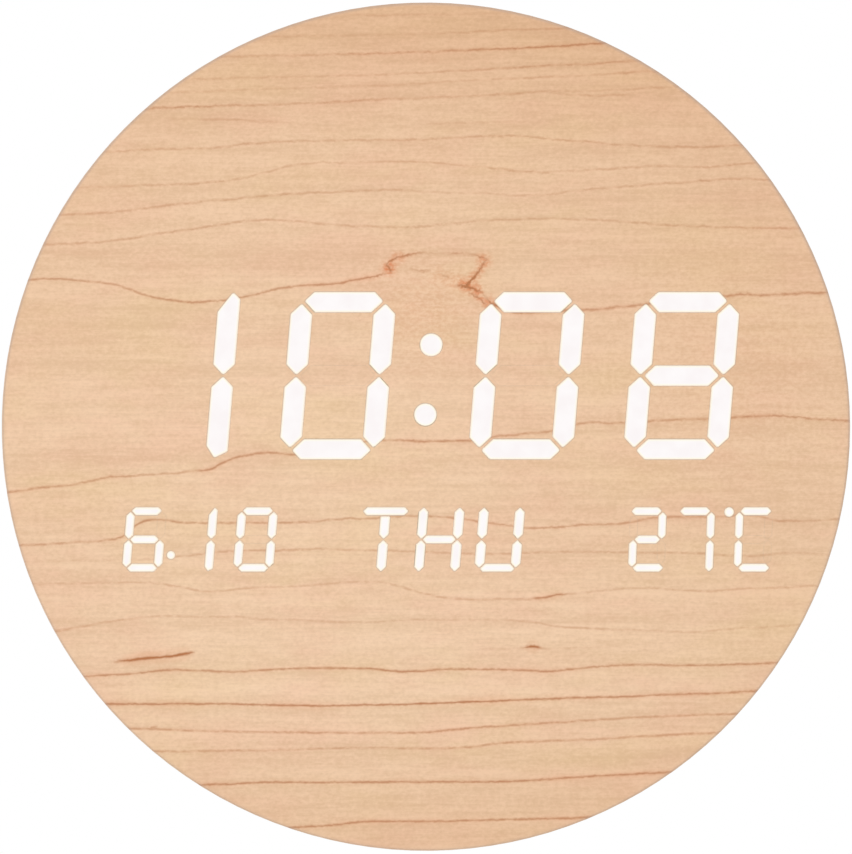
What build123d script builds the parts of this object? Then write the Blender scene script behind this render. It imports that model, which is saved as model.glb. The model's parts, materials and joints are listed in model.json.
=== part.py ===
from build123d import *
import os
from collections import namedtuple
from math import hypot, radians, sqrt, tan

# A round wooden wall clock whose readout shines out of a plain veneered face.
# Origin: centre of the back, on the wall. X to the right seen from the front, Z up.
# The front faces -Y, so a depth below is the distance from the wall towards the viewer.

# Body: a disc large enough for the works and a wooden rim around them
rim_width = 5.87
veneer_thickness = 0.6
edge_band_thickness = 0.5
edge_chamfer = 0.4
edge_band_chamfer = 0.3
web_thickness = 7.0

# Readout: four large time digits above a row of date, weekday and temperature
slant_angle = 4.8
time_row_x = 1.9
time_row_z = 15.03
time_digit_width = 30.86
digit_pitch = 45.6
hour_tens_shift = -0.4
colon_pitch = 55.8
colon_shift = -1.1
colon_drop = 1.2
colon_spacing = 20.6
colon_dot_radius = 3.36
info_row_z = -33.25
date_x = -66.6
date_digit_width = 11.8
date_narrow_space = 3.2
date_wide_space = 5.95
date_point_radius = 1.22
date_point_right = 8.2
date_point_drop = 4.6
weekday_x = 4.6
weekday_letter_width = 13.45
weekday_narrow_space = 3.0
weekday_wide_space = 4.35
temperature_x = 80.9
temperature_slant_angle = 2.2
temperature_digit_width = 10.7
temperature_letter_width = 10.9
temperature_narrow_space = 3.6
temperature_wide_space = 6.1
degree_dot_radius = 1.42
degree_dot_left = 7.4
degree_dot_rise = 8.1

# Segments of the large and the small glyphs. A level segment of the temperature
# reaches further where the upright beside it is off.
time_height = 49.36
time_post = 6.41
time_bar = 6.01
time_corner = 6.48
time_gap = 0.94
time_tip_gap = 0.3
time_round = 0.7
time_lamps = 3
info_height = 19.0
date_post = 2.5
weekday_post = 2.83
temperature_post = 2.3
info_bar = 2.35
info_corner = 2.46
info_gap = 0.34
info_tip_gap = 0.2
info_round = 0.4
info_lamps = 1
temperature_reach = 1.0
flag_tip = 0.35
flag_slope = 1.4
foot_tip = 0.6
foot_slope = 0.5
foot_lift = 0.07

# Light guides and reflector blocks
guide_clearance = 0.05
guide_depth = 4.5
skin_over_unlit = 0.15
reflector_margin = 2.9
reflector_corner = 4.0
window_clearance = 0.3
locating_pin_radius = 1.2
locating_pin_inset = 2.0
locating_pin_clearance = 0.1
lamp_length = 1.6
lamp_width = 1.0
lamp_height = 0.8

# Boards
board_thickness = 1.6
board_ledge = 4.5
board_clearance = 0.4
link_height = 3.2
control_board_width = 96.0
control_board_height = 50.0
control_board_gap = 2.0
board_screw_pitch = 74.0

# Pocket and rear cover
pocket_corner = 20.0
cover_thickness = 2.5
cover_side_ledge = 3.0
cover_end_ledge = 7.0
cover_corner = 25.0
cover_clearance = 0.3
cover_chamfer = 0.5
cover_screw_outer_x = 78.0
cover_screw_inner_x = 28.0
boss_radius = 3.2
boss_inset = 5.0
vent_count = 6
vent_width = 1.6
vent_length = 16.0
vent_pitch = 3.6
vent_x = -40.0
vent_rise = 22.0

# Screws
screw_clearance = 0.05
hole_clearance = 0.2
head_gap = 0.1
cover_screw_radius = 1.4
cover_screw_length = 12.0
cover_screw_head_radius = 2.8
cover_screw_head_height = 1.5
hanger_screw_radius = 1.5
hanger_screw_length = 14.0
hanger_screw_head_radius = 3.0
hanger_screw_head_height = 0.9
board_screw_radius = 1.1
board_screw_length = 7.0
board_screw_head_radius = 2.3
board_screw_head_height = 1.3
control_screw_radius = 1.0
control_screw_length = 6.5
control_screw_head_radius = 2.0
control_screw_head_height = 1.2
cross_width = 0.7
cross_depth = 0.6
cross_share = 0.62
pan_top_share = 0.8
pan_edge_drop = 0.35
screw_point_share = 0.3

# Keyhole hanger
hanger_width = 46.0
hanger_height = 26.0
hanger_corner = 3.0
hanger_thickness = 1.2
hanger_drop = 30.0
hanger_clearance = 0.2
hanger_screw_inset = 7.0
keyhole_radius = 4.5
keyhole_slot_width = 4.4
keyhole_rise = 9.0
head_room = 7.0
head_room_margin = 1.5

# Buttons, spaced evenly in a sunk dish so that nothing stands behind the wall face
button_pitch = 14.0
button_rise = 34.0
button_length = 10.0
button_width = 6.0
button_sink = 0.7
button_clearance = 0.3
button_edge_round = 0.4
button_flange = 1.0
button_flange_thickness = 1.0
button_flange_gap = 0.15
button_stem_radius = 1.6
button_stem_length = 1.55
button_travel = 0.5
dish_depth = 2.0
dish_wall = 2.0
dish_margin = 4.0

# Push switches under the buttons
switch_size = 6.0
switch_housing_height = 3.2
switch_plate_thickness = 0.3
plunger_radius = 1.7
plunger_rise = 0.8
plunger_clearance = 0.25
plunger_flange_radius = 2.2
plunger_flange_thickness = 0.7
plunger_flange_gap = 0.1
plunger_flange_clearance = 0.3
plunger_overrun = 0.3

# Power inlet at the head of a channel that leads the cable to the lower rim
socket_width = 9.0
socket_height = 6.4
socket_length = 11.0
socket_bore_radius = 1.9
socket_bore_depth = 9.0
socket_pin_radius = 0.65
socket_pin_setback = 1.0
plug_width = 9.0
plug_clearance = 1.0

# Coin cell and its twist door
cell_diameter = 20.0
cell_thickness = 3.2
cell_step = 0.6
cell_clearance = 0.3
cell_x = 40.0
cell_rise = 24.0
cup_floor = 1.0
cup_wall = 1.4
door_radius = 14.0
door_sink = 0.2
door_thickness = 1.5
door_edge_round = 0.3
door_seat_gap = 0.05
door_clearance = 0.3
door_hub_radius = 10.8
door_lip_thickness = 0.7
door_lip_gap = 0.1
door_tab_radius = 12.2
door_tab_thickness = 1.0
door_tab_arc = 30.0
door_notch_arc = 38.0
door_turn = 60.0
door_under_gap = 0.3
coin_slot_length = 16.0
coin_slot_width = 2.0
coin_slot_depth = 0.9
contact_thickness = 0.25
contact_width = 4.0
contact_length = 9.0
contact_leg_width = 1.6

# Parts on the boards
chip_length = 18.0
chip_width = 7.6
chip_height = 2.3
chip_spread = 80.0
controller_size = 10.0
controller_height = 1.5
controller_x = -20.0
controller_rise = 12.0
crystal_radius = 1.0
crystal_length = 6.0
crystal_x = -30.5
capacitor_radius = 3.15
capacitor_height = 5.4
capacitor_round = 0.5
capacitor_x = 14.0
capacitor_rise = 12.0
sensor_radius = 1.3
sensor_height = 4.0
sensor_leg_radius = 0.25
sensor_leg_pitch = 1.6
pin_count = 10
pin_pitch = 2.54
pin_size = 0.64
pin_hole_radius = 0.5
pin_stand = 0.8
header_width = 2.5
header_inset = 4.0

# Depths, built up from the wall towards the viewer
dish_back = dish_depth + dish_wall
flange_rear = dish_back + button_flange_gap
flange_front = flange_rear + button_flange_thickness
plunger_top = flange_front + button_stem_length
switch_top = plunger_top + plunger_rise
switch_seat = switch_top + switch_plate_thickness
control_rear = switch_seat + switch_housing_height
control_front = control_rear + board_thickness
display_rear = control_front + link_height
display_front = display_rear + board_thickness
veneer_rear = display_front + web_thickness
front = veneer_rear + veneer_thickness
slant = tan(radians(slant_angle))
temperature_slant = tan(radians(temperature_slant_angle))

Style = namedtuple("Style", "height post bar corner gap tip_gap reach lamps slant")
time_style = Style(
    time_height, time_post, time_bar, time_corner, time_gap, time_tip_gap, 0.0, time_lamps, slant
)
weekday_style = Style(
    info_height, weekday_post, info_bar, info_corner, info_gap, info_tip_gap, 0.0, info_lamps, slant
)
date_style = weekday_style._replace(post=date_post)
temperature_style = weekday_style._replace(
    post=temperature_post, reach=temperature_reach, slant=temperature_slant
)

Screw = namedtuple("Screw", "radius length head_radius head_height")
cover_screw = Screw(
    cover_screw_radius, cover_screw_length, cover_screw_head_radius, cover_screw_head_height
)
hanger_screw = Screw(
    hanger_screw_radius, hanger_screw_length, hanger_screw_head_radius, hanger_screw_head_height
)
board_screw = Screw(
    board_screw_radius, board_screw_length, board_screw_head_radius, board_screw_head_height
)
control_screw = Screw(
    control_screw_radius, control_screw_length, control_screw_head_radius, control_screw_head_height
)


def slab(sketch, rear, fore):
    # A sketch seen from the front, filled between two depths.
    plane = Plane(origin=(0, -rear, 0), x_dir=(1, 0, 0), z_dir=(0, -1, 0))
    return extrude(plane * sketch, fore - rear, dir=(0, -1, 0))


def at(points, sketch):
    # One copy of a sketch at each point.
    return Sketch() + [Pos(x, z) * sketch for x, z in points]


def turned(profile, x, z):
    # A solid turned about the depth axis through (x, z), from (radius, depth) points.
    outline = make_face(Polyline(*[(r, -d, 0) for r, d in profile], close=True))
    return Pos(x, 0, z) * revolve(outline, Axis.Y)


def screw_profile(screw, seat, countersunk, grow=0.0):
    # Half outline of a screw driven towards the viewer, its head seated at a depth.
    shank = screw.radius + grow
    head = screw.head_radius + grow
    top = seat if countersunk else seat - screw.head_height
    under = seat + screw.head_height if countersunk else seat
    rim = (head, top) if countersunk else (head, under)
    pan = [(head * pan_top_share, top), (head, top + pan_edge_drop)]
    crown = [(0, top), rim] if countersunk else [(0, top), *pan, rim]
    tip = under + screw.length
    return crown + [(shank, under), (shank, tip - shank), (shank * screw_point_share, tip), (0, tip)]


def screws(screw, seat, points, countersunk):
    # A set of alike screws with cross recesses in their heads.
    top = seat if countersunk else seat - screw.head_height
    reach = 2 * screw.head_radius * cross_share
    cross = Rectangle(reach, cross_width) + Rectangle(cross_width, reach)
    driven = [turned(screw_profile(screw, seat, countersunk), x, z) for x, z in points]
    return Part() + driven - slab(at(points, cross), top, top + cross_depth)


def post_outline(style, outer, side, upper, end, back_off=0.0):
    # Upright segment: its far end, then its pointed end at the middle of the glyph.
    # Points are (distance in from the outer edge, distance from the glyph's end).
    half = style.height / 2
    offset_45 = style.gap / sqrt(2)
    lean = style.bar - style.post + offset_45
    post = style.post
    ends = {
        "corner": [
            (0, style.corner + back_off),
            ((style.corner - lean) / 2, (style.corner + lean) / 2 + back_off),
            (post, style.bar + offset_45 + back_off),
        ],
        "free": [(0, post / 2), (post / 2, 0), (post, post / 2)],
        "flag": [(0, post * flag_tip), (post * flag_tip, 0), (post, post * (1 - flag_tip) * flag_slope)],
        "foot": [
            (0, post * (foot_lift + foot_tip * foot_slope)),
            (post * foot_tip, post * foot_lift),
            (post, post * (foot_lift + (1 - foot_tip) * flag_slope)),
        ],
        "flat": [(0, style.bar + style.gap), (post, style.bar + style.gap)],
    }
    tip = half - style.tip_gap / 2
    middle = [(post, tip - post / 2), (post / 2, tip), (0, tip - post / 2)]
    return [(side * (outer - u), upper * (half - v)) for u, v in ends[end] + middle]


def bar_outline(style, outer, upper, left, right):
    # Level segment at the top or foot of a glyph. An end either meets a lit upright at
    # the corner, reaches on towards one that is off, or is a plain point.
    half = style.height / 2
    offset_45 = style.gap / sqrt(2)
    lean = style.bar - style.post - offset_45
    corner_end = [
        (style.corner, 0),
        ((style.corner - lean) / 2, (style.corner + lean) / 2),
        (style.post + offset_45, style.bar),
    ]
    ends = {
        "corner": corner_end,
        "reach": [(u - style.reach, v) for u, v in corner_end],
        "free": [(style.bar / 2, 0), (0, style.bar / 2), (style.bar / 2, style.bar)],
    }
    right_points = [(outer - u, upper * (half - v)) for u, v in ends[right]]
    left_points = [(u - outer, upper * (half - v)) for u, v in reversed(ends[left])]
    return right_points + left_points


def middle_outline(style, outer):
    # Level segment across the middle of a glyph.
    tip = outer - style.post / 2 + style.tip_gap / 2 - style.gap * sqrt(2)
    shoulder = tip - style.bar / 2
    half = style.bar / 2
    return [(shoulder, half), (tip, 0), (shoulder, -half), (-shoulder, -half), (-tip, 0), (-shoulder, half)]


# Segments lit for each character: a top, b and c right, d foot, e and f left, g middle,
# i and l the upper and lower halves of a central stem
lit_letters = {
    "0": "abcdef",
    "1": "bc",
    "2": "abged",
    "6": "acdefg",
    "7": "abc",
    "8": "abcdefg",
    "C": "adef",
    "H": "bcefg",
    "T": "ail",
    "U": "bcdef",
}


def glyph_outlines(character, style, width, x, z):
    # Lit and unlit segment outlines of one glyph, leaned over and put in its place.
    lit = lit_letters[character]
    outer = width / 2
    closed = "a" in lit and "d" in lit
    single = not set("adg") & set(lit)
    top_end = "corner" if "a" in lit else "flag" if single else "free"
    foot_end = "corner" if "d" in lit else "foot" if single else "free"
    beside = {name: "corner" if name in lit else "free" if "i" in lit else "reach" for name in "bcef"}
    back_off = {name: 0.0 if name in lit else style.reach for name in "bcef"}
    shapes = {
        "a": bar_outline(style, outer, 1, beside["f"], beside["b"]),
        "b": post_outline(style, outer, 1, 1, top_end, back_off["b"]),
        "c": post_outline(style, outer, 1, -1, foot_end, back_off["c"]),
        "d": bar_outline(style, outer, -1, beside["e"], beside["c"]),
        "e": post_outline(style, outer, -1, -1, foot_end, back_off["e"]),
        "f": post_outline(style, outer, -1, 1, top_end, back_off["f"]),
        "g": middle_outline(style, outer),
        "i": post_outline(style, style.post / 2, 1, 1, "flat"),
        "l": post_outline(style, style.post / 2, 1, -1, "free"),
    }
    unlit = [name for name in "abcdefg" if closed and name not in lit]

    def placed(names):
        return [[(x + px + pz * style.slant, z + pz) for px, pz in shapes[name]] for name in names]

    return placed(lit), placed(unlit)


def row_centres(glyphs, middle):
    # Middle of each glyph in a row of (character, width, space before it).
    centres = []
    edge = middle - sum(width + space for character, width, space in glyphs) / 2
    for character, width, space in glyphs:
        centres.append(edge + space + width / 2)
        edge += space + width
    return centres


def rounded(polygon, corner_round):
    return fillet(polygon.vertices(), corner_round)


def outline_sketch(outlines, corner_round):
    return Sketch() + [rounded(Polygon(*points), corner_round) for points in outlines]


def guide_sketch(outlines, corner_round):
    # The outlines drawn in by the clearance around a light guide.
    drawn_in = [offset(Polygon(*points), -guide_clearance, kind=Kind.INTERSECTION) for points in outlines]
    return Sketch() + [rounded(polygon, corner_round - guide_clearance) for polygon in drawn_in]


def lamp_points(outlines, style):
    # Lamps spread between the two tips of a segment, or one at its middle.
    points = []
    for outline in outlines:
        if style.lamps == 1:
            count = len(outline)
            points.append((sum(p[0] for p in outline) / count, sum(p[1] for p in outline) / count))
            continue
        (x0, z0), (x1, z1) = outline[1], outline[4]
        shares = [(i + 1) / (style.lamps + 1) for i in range(style.lamps)]
        points += [(x0 + (x1 - x0) * s, z0 + (z1 - z0) * s) for s in shares]
    return points


# Glyph places
time_centres = [
    time_row_x - colon_pitch / 2 - digit_pitch + hour_tens_shift,
    time_row_x - colon_pitch / 2,
    time_row_x + colon_pitch / 2,
    time_row_x + colon_pitch / 2 + digit_pitch,
]
date_glyphs = (
    ("6", date_digit_width, 0.0),
    ("1", date_digit_width, date_narrow_space),
    ("0", date_digit_width, date_wide_space),
)
weekday_glyphs = (
    ("T", weekday_letter_width, 0.0),
    ("H", weekday_letter_width, weekday_narrow_space),
    ("U", weekday_letter_width, weekday_wide_space),
)
temperature_glyphs = (
    ("2", temperature_digit_width, 0.0),
    ("7", temperature_digit_width, temperature_narrow_space),
    ("C", temperature_letter_width, temperature_wide_space),
)
date_centres = row_centres(date_glyphs, date_x)
weekday_centres = row_centres(weekday_glyphs, weekday_x)
temperature_centres = row_centres(temperature_glyphs, temperature_x)

# Outlines of every segment, row by row
time_lit = {}
time_unlit = []
time_names = ("hour_tens", "hour_units", "minute_tens", "minute_units")
for name, character, x in zip(time_names, "1008", time_centres):
    lit, unlit = glyph_outlines(character, time_style, time_digit_width, x, time_row_z)
    time_lit[name] = lit
    time_unlit += unlit
info_lit = {}
info_unlit = []
info_rows = (
    ("date", date_style, date_glyphs, date_centres),
    ("weekday", weekday_style, weekday_glyphs, weekday_centres),
    ("temperature", temperature_style, temperature_glyphs, temperature_centres),
)
for name, style, glyphs, centres in info_rows:
    info_lit[name] = []
    for (character, width, space), x in zip(glyphs, centres):
        lit, unlit = glyph_outlines(character, style, width, x, info_row_z)
        info_lit[name] += lit
        info_unlit += unlit

# Round marks, leaned over with the digits
colon_z = (time_row_z - colon_drop + colon_spacing / 2, time_row_z - colon_drop - colon_spacing / 2)
colon_points = [(time_row_x + colon_shift + (z - time_row_z) * slant, z) for z in colon_z]
date_point = (
    date_centres[0] + date_point_right - date_point_drop * slant,
    info_row_z - date_point_drop,
)
degree_point = (
    temperature_centres[-1] - degree_dot_left + degree_dot_rise * temperature_slant,
    info_row_z + degree_dot_rise,
)
mark_sketch = at(colon_points, Circle(colon_dot_radius))
mark_sketch += at([date_point], Circle(date_point_radius))
mark_sketch += at([degree_point], Circle(degree_dot_radius))
point_guide = Circle(date_point_radius - guide_clearance)
degree_guide = Circle(degree_dot_radius - guide_clearance)
colon_guide = Circle(colon_dot_radius - guide_clearance)

time_outlines = sum(time_lit.values(), []) + time_unlit
info_outlines = sum(info_lit.values(), []) + info_unlit
lit_sketch = outline_sketch(sum(time_lit.values(), []), time_round) + mark_sketch
lit_sketch += outline_sketch(sum(info_lit.values(), []), info_round)
unlit_sketch = outline_sketch(time_unlit, time_round) + outline_sketch(info_unlit, info_round)


def extents(outlines):
    xs = [p[0] for outline in outlines for p in outline]
    zs = [p[1] for outline in outlines for p in outline]
    return min(xs), max(xs), min(zs), max(zs)


def block_sketch(box, grow):
    # Rounded rectangle around a row of glyphs.
    x0, x1, z0, z1 = box
    width = x1 - x0 + 2 * grow
    height = z1 - z0 + 2 * grow
    return Pos((x0 + x1) / 2, (z0 + z1) / 2) * RectangleRounded(width, height, reflector_corner)


time_box = extents(time_outlines)
info_box = extents(info_outlines)
window_grow = reflector_margin + window_clearance
time_window = block_sketch(time_box, window_grow)
info_window = block_sketch(info_box, window_grow)

# Pocket, boards and cover, all centred on the disc
reach_x = max(abs(v) for v in time_box[:2] + info_box[:2]) + window_grow
reach_z = max(abs(v) for v in time_box[2:] + info_box[2:]) + window_grow
pocket_half_width = reach_x + board_ledge
pocket_half_height = reach_z + board_ledge
pocket_sketch = RectangleRounded(2 * pocket_half_width, 2 * pocket_half_height, pocket_corner)
display_board_sketch = RectangleRounded(
    2 * (pocket_half_width - board_clearance),
    2 * (pocket_half_height - board_clearance),
    pocket_corner - board_clearance,
)
cover_half_width = pocket_half_width + cover_side_ledge
cover_half_height = pocket_half_height + cover_end_ledge
cover_sketch = RectangleRounded(2 * cover_half_width, 2 * cover_half_height, cover_corner)
rebate_sketch = RectangleRounded(
    2 * (cover_half_width + cover_clearance),
    2 * (cover_half_height + cover_clearance),
    cover_corner + cover_clearance,
)

# The disc reaches a rim past the corners of the cover
corner_reach = hypot(cover_half_width - cover_corner, cover_half_height - cover_corner) + cover_corner
core_radius = corner_reach + rim_width
body_radius = core_radius + edge_band_thickness

# The control board stands on the lower edge of the pocket, with its parts above that edge
control_foot = control_board_gap - pocket_half_height
control_z = control_foot + control_board_height / 2
button_z = control_foot + button_rise
button_points = [(button_pitch * i, button_z) for i in (-1, 0, 1)]
cell_z = control_foot + cell_rise
vent_z = control_foot + vent_rise
header_z = control_foot + control_board_height - header_inset
bridge_z = (time_box[2] + info_box[3]) / 2
top_ledge_z = (pocket_half_height + time_box[3] + window_grow) / 2
board_screw_points = [(i * board_screw_pitch, z) for z in (top_ledge_z, bridge_z) for i in (-1, 0, 1)]
cover_screw_z = cover_half_height - cover_end_ledge / 2
cover_screw_columns = (-cover_screw_outer_x, -cover_screw_inner_x, cover_screw_inner_x, cover_screw_outer_x)
cover_screw_points = [(x, side * cover_screw_z) for side in (1, -1) for x in cover_screw_columns]
boss_x = control_board_width / 2 - boss_inset
boss_z = control_board_height / 2 - boss_inset
boss_points = [(i * boss_x, control_z + j * boss_z) for i in (-1, 1) for j in (-1, 1)]
pin_points = [((i - (pin_count - 1) / 2) * pin_pitch, header_z) for i in range(pin_count)]
hanger_z = body_radius - hanger_drop
hanger_screw_x = hanger_width / 2 - hanger_screw_inset
hanger_screw_points = [(-hanger_screw_x, hanger_z), (hanger_screw_x, hanger_z)]
keyhole_z = hanger_z - keyhole_rise / 2

# Keyhole and the room behind it for the head of the wall screw
keyhole_slot = Pos(0, keyhole_z + keyhole_rise / 2) * Rectangle(keyhole_slot_width, keyhole_rise)
keyhole_top = Pos(0, keyhole_z + keyhole_rise) * Circle(keyhole_slot_width / 2)
keyhole_sketch = Pos(0, keyhole_z) * Circle(keyhole_radius) + keyhole_slot + keyhole_top
room_radius = keyhole_radius + head_room_margin
room_sketch = Pos(0, hanger_z) * Rot(0, 0, 90) * SlotCenterToCenter(keyhole_rise, 2 * room_radius)
hanger_rebate = RectangleRounded(
    hanger_width + 2 * hanger_clearance,
    hanger_height + 2 * hanger_clearance,
    hanger_corner + hanger_clearance,
)

# Cable channel from the inlet down to the rim
socket_depth = control_rear - socket_height / 2
channel_width = plug_width + 2 * plug_clearance
channel_depth = socket_depth + plug_width / 2
socket_foot = control_foot - control_board_gap / 2
channel_length = body_radius + socket_foot
channel_sketch = Pos(0, socket_foot - channel_length / 2) * Rectangle(channel_width, channel_length)

# Wood
display_pilots = at(board_screw_points, Circle(board_screw.radius + screw_clearance))
cover_pilots = at(cover_screw_points, Circle(cover_screw.radius + screw_clearance))
hanger_pilots = at(hanger_screw_points, Circle(hanger_screw.radius + screw_clearance))
wood_body = slab(Circle(core_radius), 0, veneer_rear)
wood_body -= slab(rebate_sketch, 0, cover_thickness)
wood_body -= slab(pocket_sketch, cover_thickness, display_front)
wood_body -= slab(time_window + info_window, display_front, veneer_rear)
wood_body -= slab(channel_sketch, 0, channel_depth)
wood_body -= slab(Pos(0, hanger_z) * hanger_rebate, 0, hanger_thickness)
wood_body -= slab(room_sketch, hanger_thickness, hanger_thickness + head_room)
wood_body -= slab(display_pilots, display_front, display_rear + board_screw.length)
wood_body -= slab(cover_pilots, cover_thickness, cover_screw.head_height + cover_screw.length)
wood_body -= slab(hanger_pilots, hanger_thickness, hanger_screw.head_height + hanger_screw.length)

face_veneer = slab(Circle(body_radius), veneer_rear, front)
face_veneer = chamfer(face_veneer.edges().sort_by(Axis.Y)[0], edge_chamfer)
face_veneer -= slab(lit_sketch, veneer_rear, front)
face_veneer -= slab(unlit_sketch, veneer_rear, front - skin_over_unlit)

edge_veneer = slab(Circle(body_radius), 0, veneer_rear)
edge_veneer = chamfer(edge_veneer.edges().sort_by(Axis.Y)[-1], edge_band_chamfer)
edge_veneer -= slab(Circle(core_radius), 0, veneer_rear)
edge_veneer -= slab(channel_sketch, 0, channel_depth)

# Readout
guide_rear = veneer_rear - guide_depth
segments = {}
for name, outlines in time_lit.items():
    segments[name] = slab(guide_sketch(outlines, time_round), guide_rear, front)
for name, outlines in info_lit.items():
    segments[name] = slab(guide_sketch(outlines, info_round), guide_rear, front)
segments["date"] += slab(at([date_point], point_guide), guide_rear, front)
segments["temperature"] += slab(at([degree_point], degree_guide), guide_rear, front)
colon_dots = slab(at(colon_points, colon_guide), guide_rear, front)
unlit_guides = guide_sketch(time_unlit, time_round) + guide_sketch(info_unlit, info_round)
unlit_segments = slab(unlit_guides, guide_rear, front - skin_over_unlit)


def locating_points(box):
    # A pin near each end of a reflector block.
    x0, x1, z0, z1 = box
    inset = locating_pin_inset - reflector_margin
    return [(x0 + inset, (z0 + z1) / 2), (x1 - inset, (z0 + z1) / 2)]


pin_holes = at(locating_points(time_box) + locating_points(info_box), Circle(locating_pin_radius))


def reflector(box, wells):
    block = slab(block_sketch(box, reflector_margin), display_front, veneer_rear)
    pegs = at(locating_points(box), Circle(locating_pin_radius - locating_pin_clearance))
    return block - slab(wells, display_front, veneer_rear) + slab(pegs, display_rear, display_front)


time_marks = at(colon_points, Circle(colon_dot_radius))
info_marks = at([date_point], Circle(date_point_radius)) + at([degree_point], Circle(degree_dot_radius))
time_reflector = reflector(time_box, outline_sketch(time_outlines, time_round) + time_marks)
info_reflector = reflector(info_box, outline_sketch(info_outlines, info_round) + info_marks)

lamp_places = lamp_points(time_outlines, time_style) + lamp_points(info_outlines, weekday_style)
lamp_places += colon_points + [date_point, degree_point]
lamps = at(lamp_places, Rectangle(lamp_length, lamp_width))
display_leds = slab(lamps, display_front, display_front + lamp_height)

link_holes = at(pin_points, Circle(pin_hole_radius))
display_board = slab(display_board_sketch, display_rear, display_front)
display_board -= slab(
    pin_holes + link_holes + at(board_screw_points, Circle(board_screw.radius + hole_clearance)),
    display_rear,
    display_front,
)
chip_points = [(-chip_spread, 0), (chip_spread, 0)]
chips = at(chip_points, Rectangle(chip_width, chip_length))
driver_chips = slab(chips, display_rear - chip_height, display_rear)

# Control board and the parts on it
control_board = slab(
    Pos(0, control_z) * Rectangle(control_board_width, control_board_height), control_rear, control_front
)
control_board -= slab(
    link_holes + at(boss_points, Circle(control_screw.radius + hole_clearance)), control_rear, control_front
)
header_length = pin_count * pin_pitch
link_header = slab(Pos(0, header_z) * Rectangle(header_length, header_width), control_front, display_rear)
link_header -= slab(at(pin_points, Rectangle(pin_size, pin_size)), control_front, display_rear)
link_pins = slab(at(pin_points, Rectangle(pin_size, pin_size)), control_rear - pin_stand, display_front)

controller_z = control_foot + controller_rise
controller_square = Pos(controller_x, controller_z) * Rectangle(controller_size, controller_size)
controller_chip = slab(controller_square, control_rear - controller_height, control_rear)
crystal_place = Pos(crystal_x, crystal_radius - control_rear, controller_z)
clock_crystal = crystal_place * Cylinder(crystal_radius, crystal_length)
power_capacitor = slab(
    Pos(capacitor_x, control_foot + capacitor_rise) * Circle(capacitor_radius),
    control_rear - capacitor_height,
    control_rear,
)
power_capacitor = fillet(power_capacitor.edges().sort_by(Axis.Y)[-1], capacitor_round)
sensor_rear = control_rear - sensor_height
sensor_place = Pos(vent_x, -sensor_rear, vent_z)
sensor_legs = [(vent_x + i * sensor_leg_pitch / 2, vent_z) for i in (-1, 1)]
temperature_sensor = sensor_place * Sphere(sensor_radius)
temperature_sensor += slab(at(sensor_legs, Circle(sensor_leg_radius)), sensor_rear, control_rear)

# Push switches
cavity_radius = plunger_flange_radius + plunger_flange_clearance
cavity_depth = plunger_flange_gap + plunger_flange_thickness + button_travel + plunger_overrun
switch_square = Rectangle(switch_size, switch_size)
switch_housings = slab(at(button_points, switch_square), switch_seat, control_rear)
switch_housings -= slab(at(button_points, Circle(cavity_radius)), switch_seat, switch_seat + cavity_depth)
plate_hole = Circle(plunger_radius + plunger_clearance)
switch_plate = switch_square - plate_hole
switch_plates = slab(at(button_points, switch_plate), switch_top, switch_seat)
plunger_flange_rear = switch_seat + plunger_flange_gap
plunger_flange_front = plunger_flange_rear + plunger_flange_thickness


def plunger(point):
    pin = slab(at([point], Circle(plunger_radius)), plunger_top, plunger_flange_rear)
    return pin + slab(at([point], Circle(plunger_flange_radius)), plunger_flange_rear, plunger_flange_front)


def button(point):
    # Pill-shaped cap through the dish floor, a flange that keeps it in and a stem to its switch.
    cap = slab(at([point], SlotOverall(button_length, button_width)), button_sink, flange_rear)
    cap = fillet(cap.edges().group_by(Axis.Y)[-1], button_edge_round)
    flange_length = button_length + 2 * button_flange
    flange_width = button_width + 2 * button_flange
    flange = slab(at([point], SlotOverall(flange_length, flange_width)), flange_rear, flange_front)
    return cap + flange + slab(at([point], Circle(button_stem_radius)), flange_front, plunger_top)


# Power inlet
socket_place = Pos(0, -socket_depth, socket_foot)
from_foot = (Align.CENTER, Align.CENTER, Align.MIN)
power_socket = socket_place * Box(socket_width, socket_height, socket_length, align=from_foot)
power_socket -= socket_place * Cylinder(socket_bore_radius, socket_bore_depth, align=from_foot)
socket_pin = socket_place * Cylinder(socket_pin_radius, socket_bore_depth, align=from_foot)
socket_pin -= socket_place * Cylinder(socket_pin_radius, socket_pin_setback, align=from_foot)

# Coin cell in a cup under the twist door
door_fore = door_sink + door_thickness
door_seat = door_fore + door_seat_gap
lip_front = door_seat + door_lip_thickness
tab_rear = lip_front + door_lip_gap
tab_front = tab_rear + door_tab_thickness
cell_rear = tab_front + door_under_gap
cell_front = cell_rear + cell_thickness
cup_seat = cell_front + contact_thickness
cup_front = cup_seat + cup_floor
cup_radius = cell_diameter / 2 + cell_clearance
tab_room_radius = door_tab_radius + door_clearance
hub_room_radius = door_hub_radius + door_clearance
cell_place = Pos(cell_x, cell_z)


def wedge(radius, arc, middle):
    # Sector of a disc about the door's axis.
    half = arc / 2
    rim = CenterArc((0, 0), radius, middle - half, arc)
    return make_face([rim, Line((0, 0), rim @ 0), Line(rim @ 1, (0, 0))])


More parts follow.
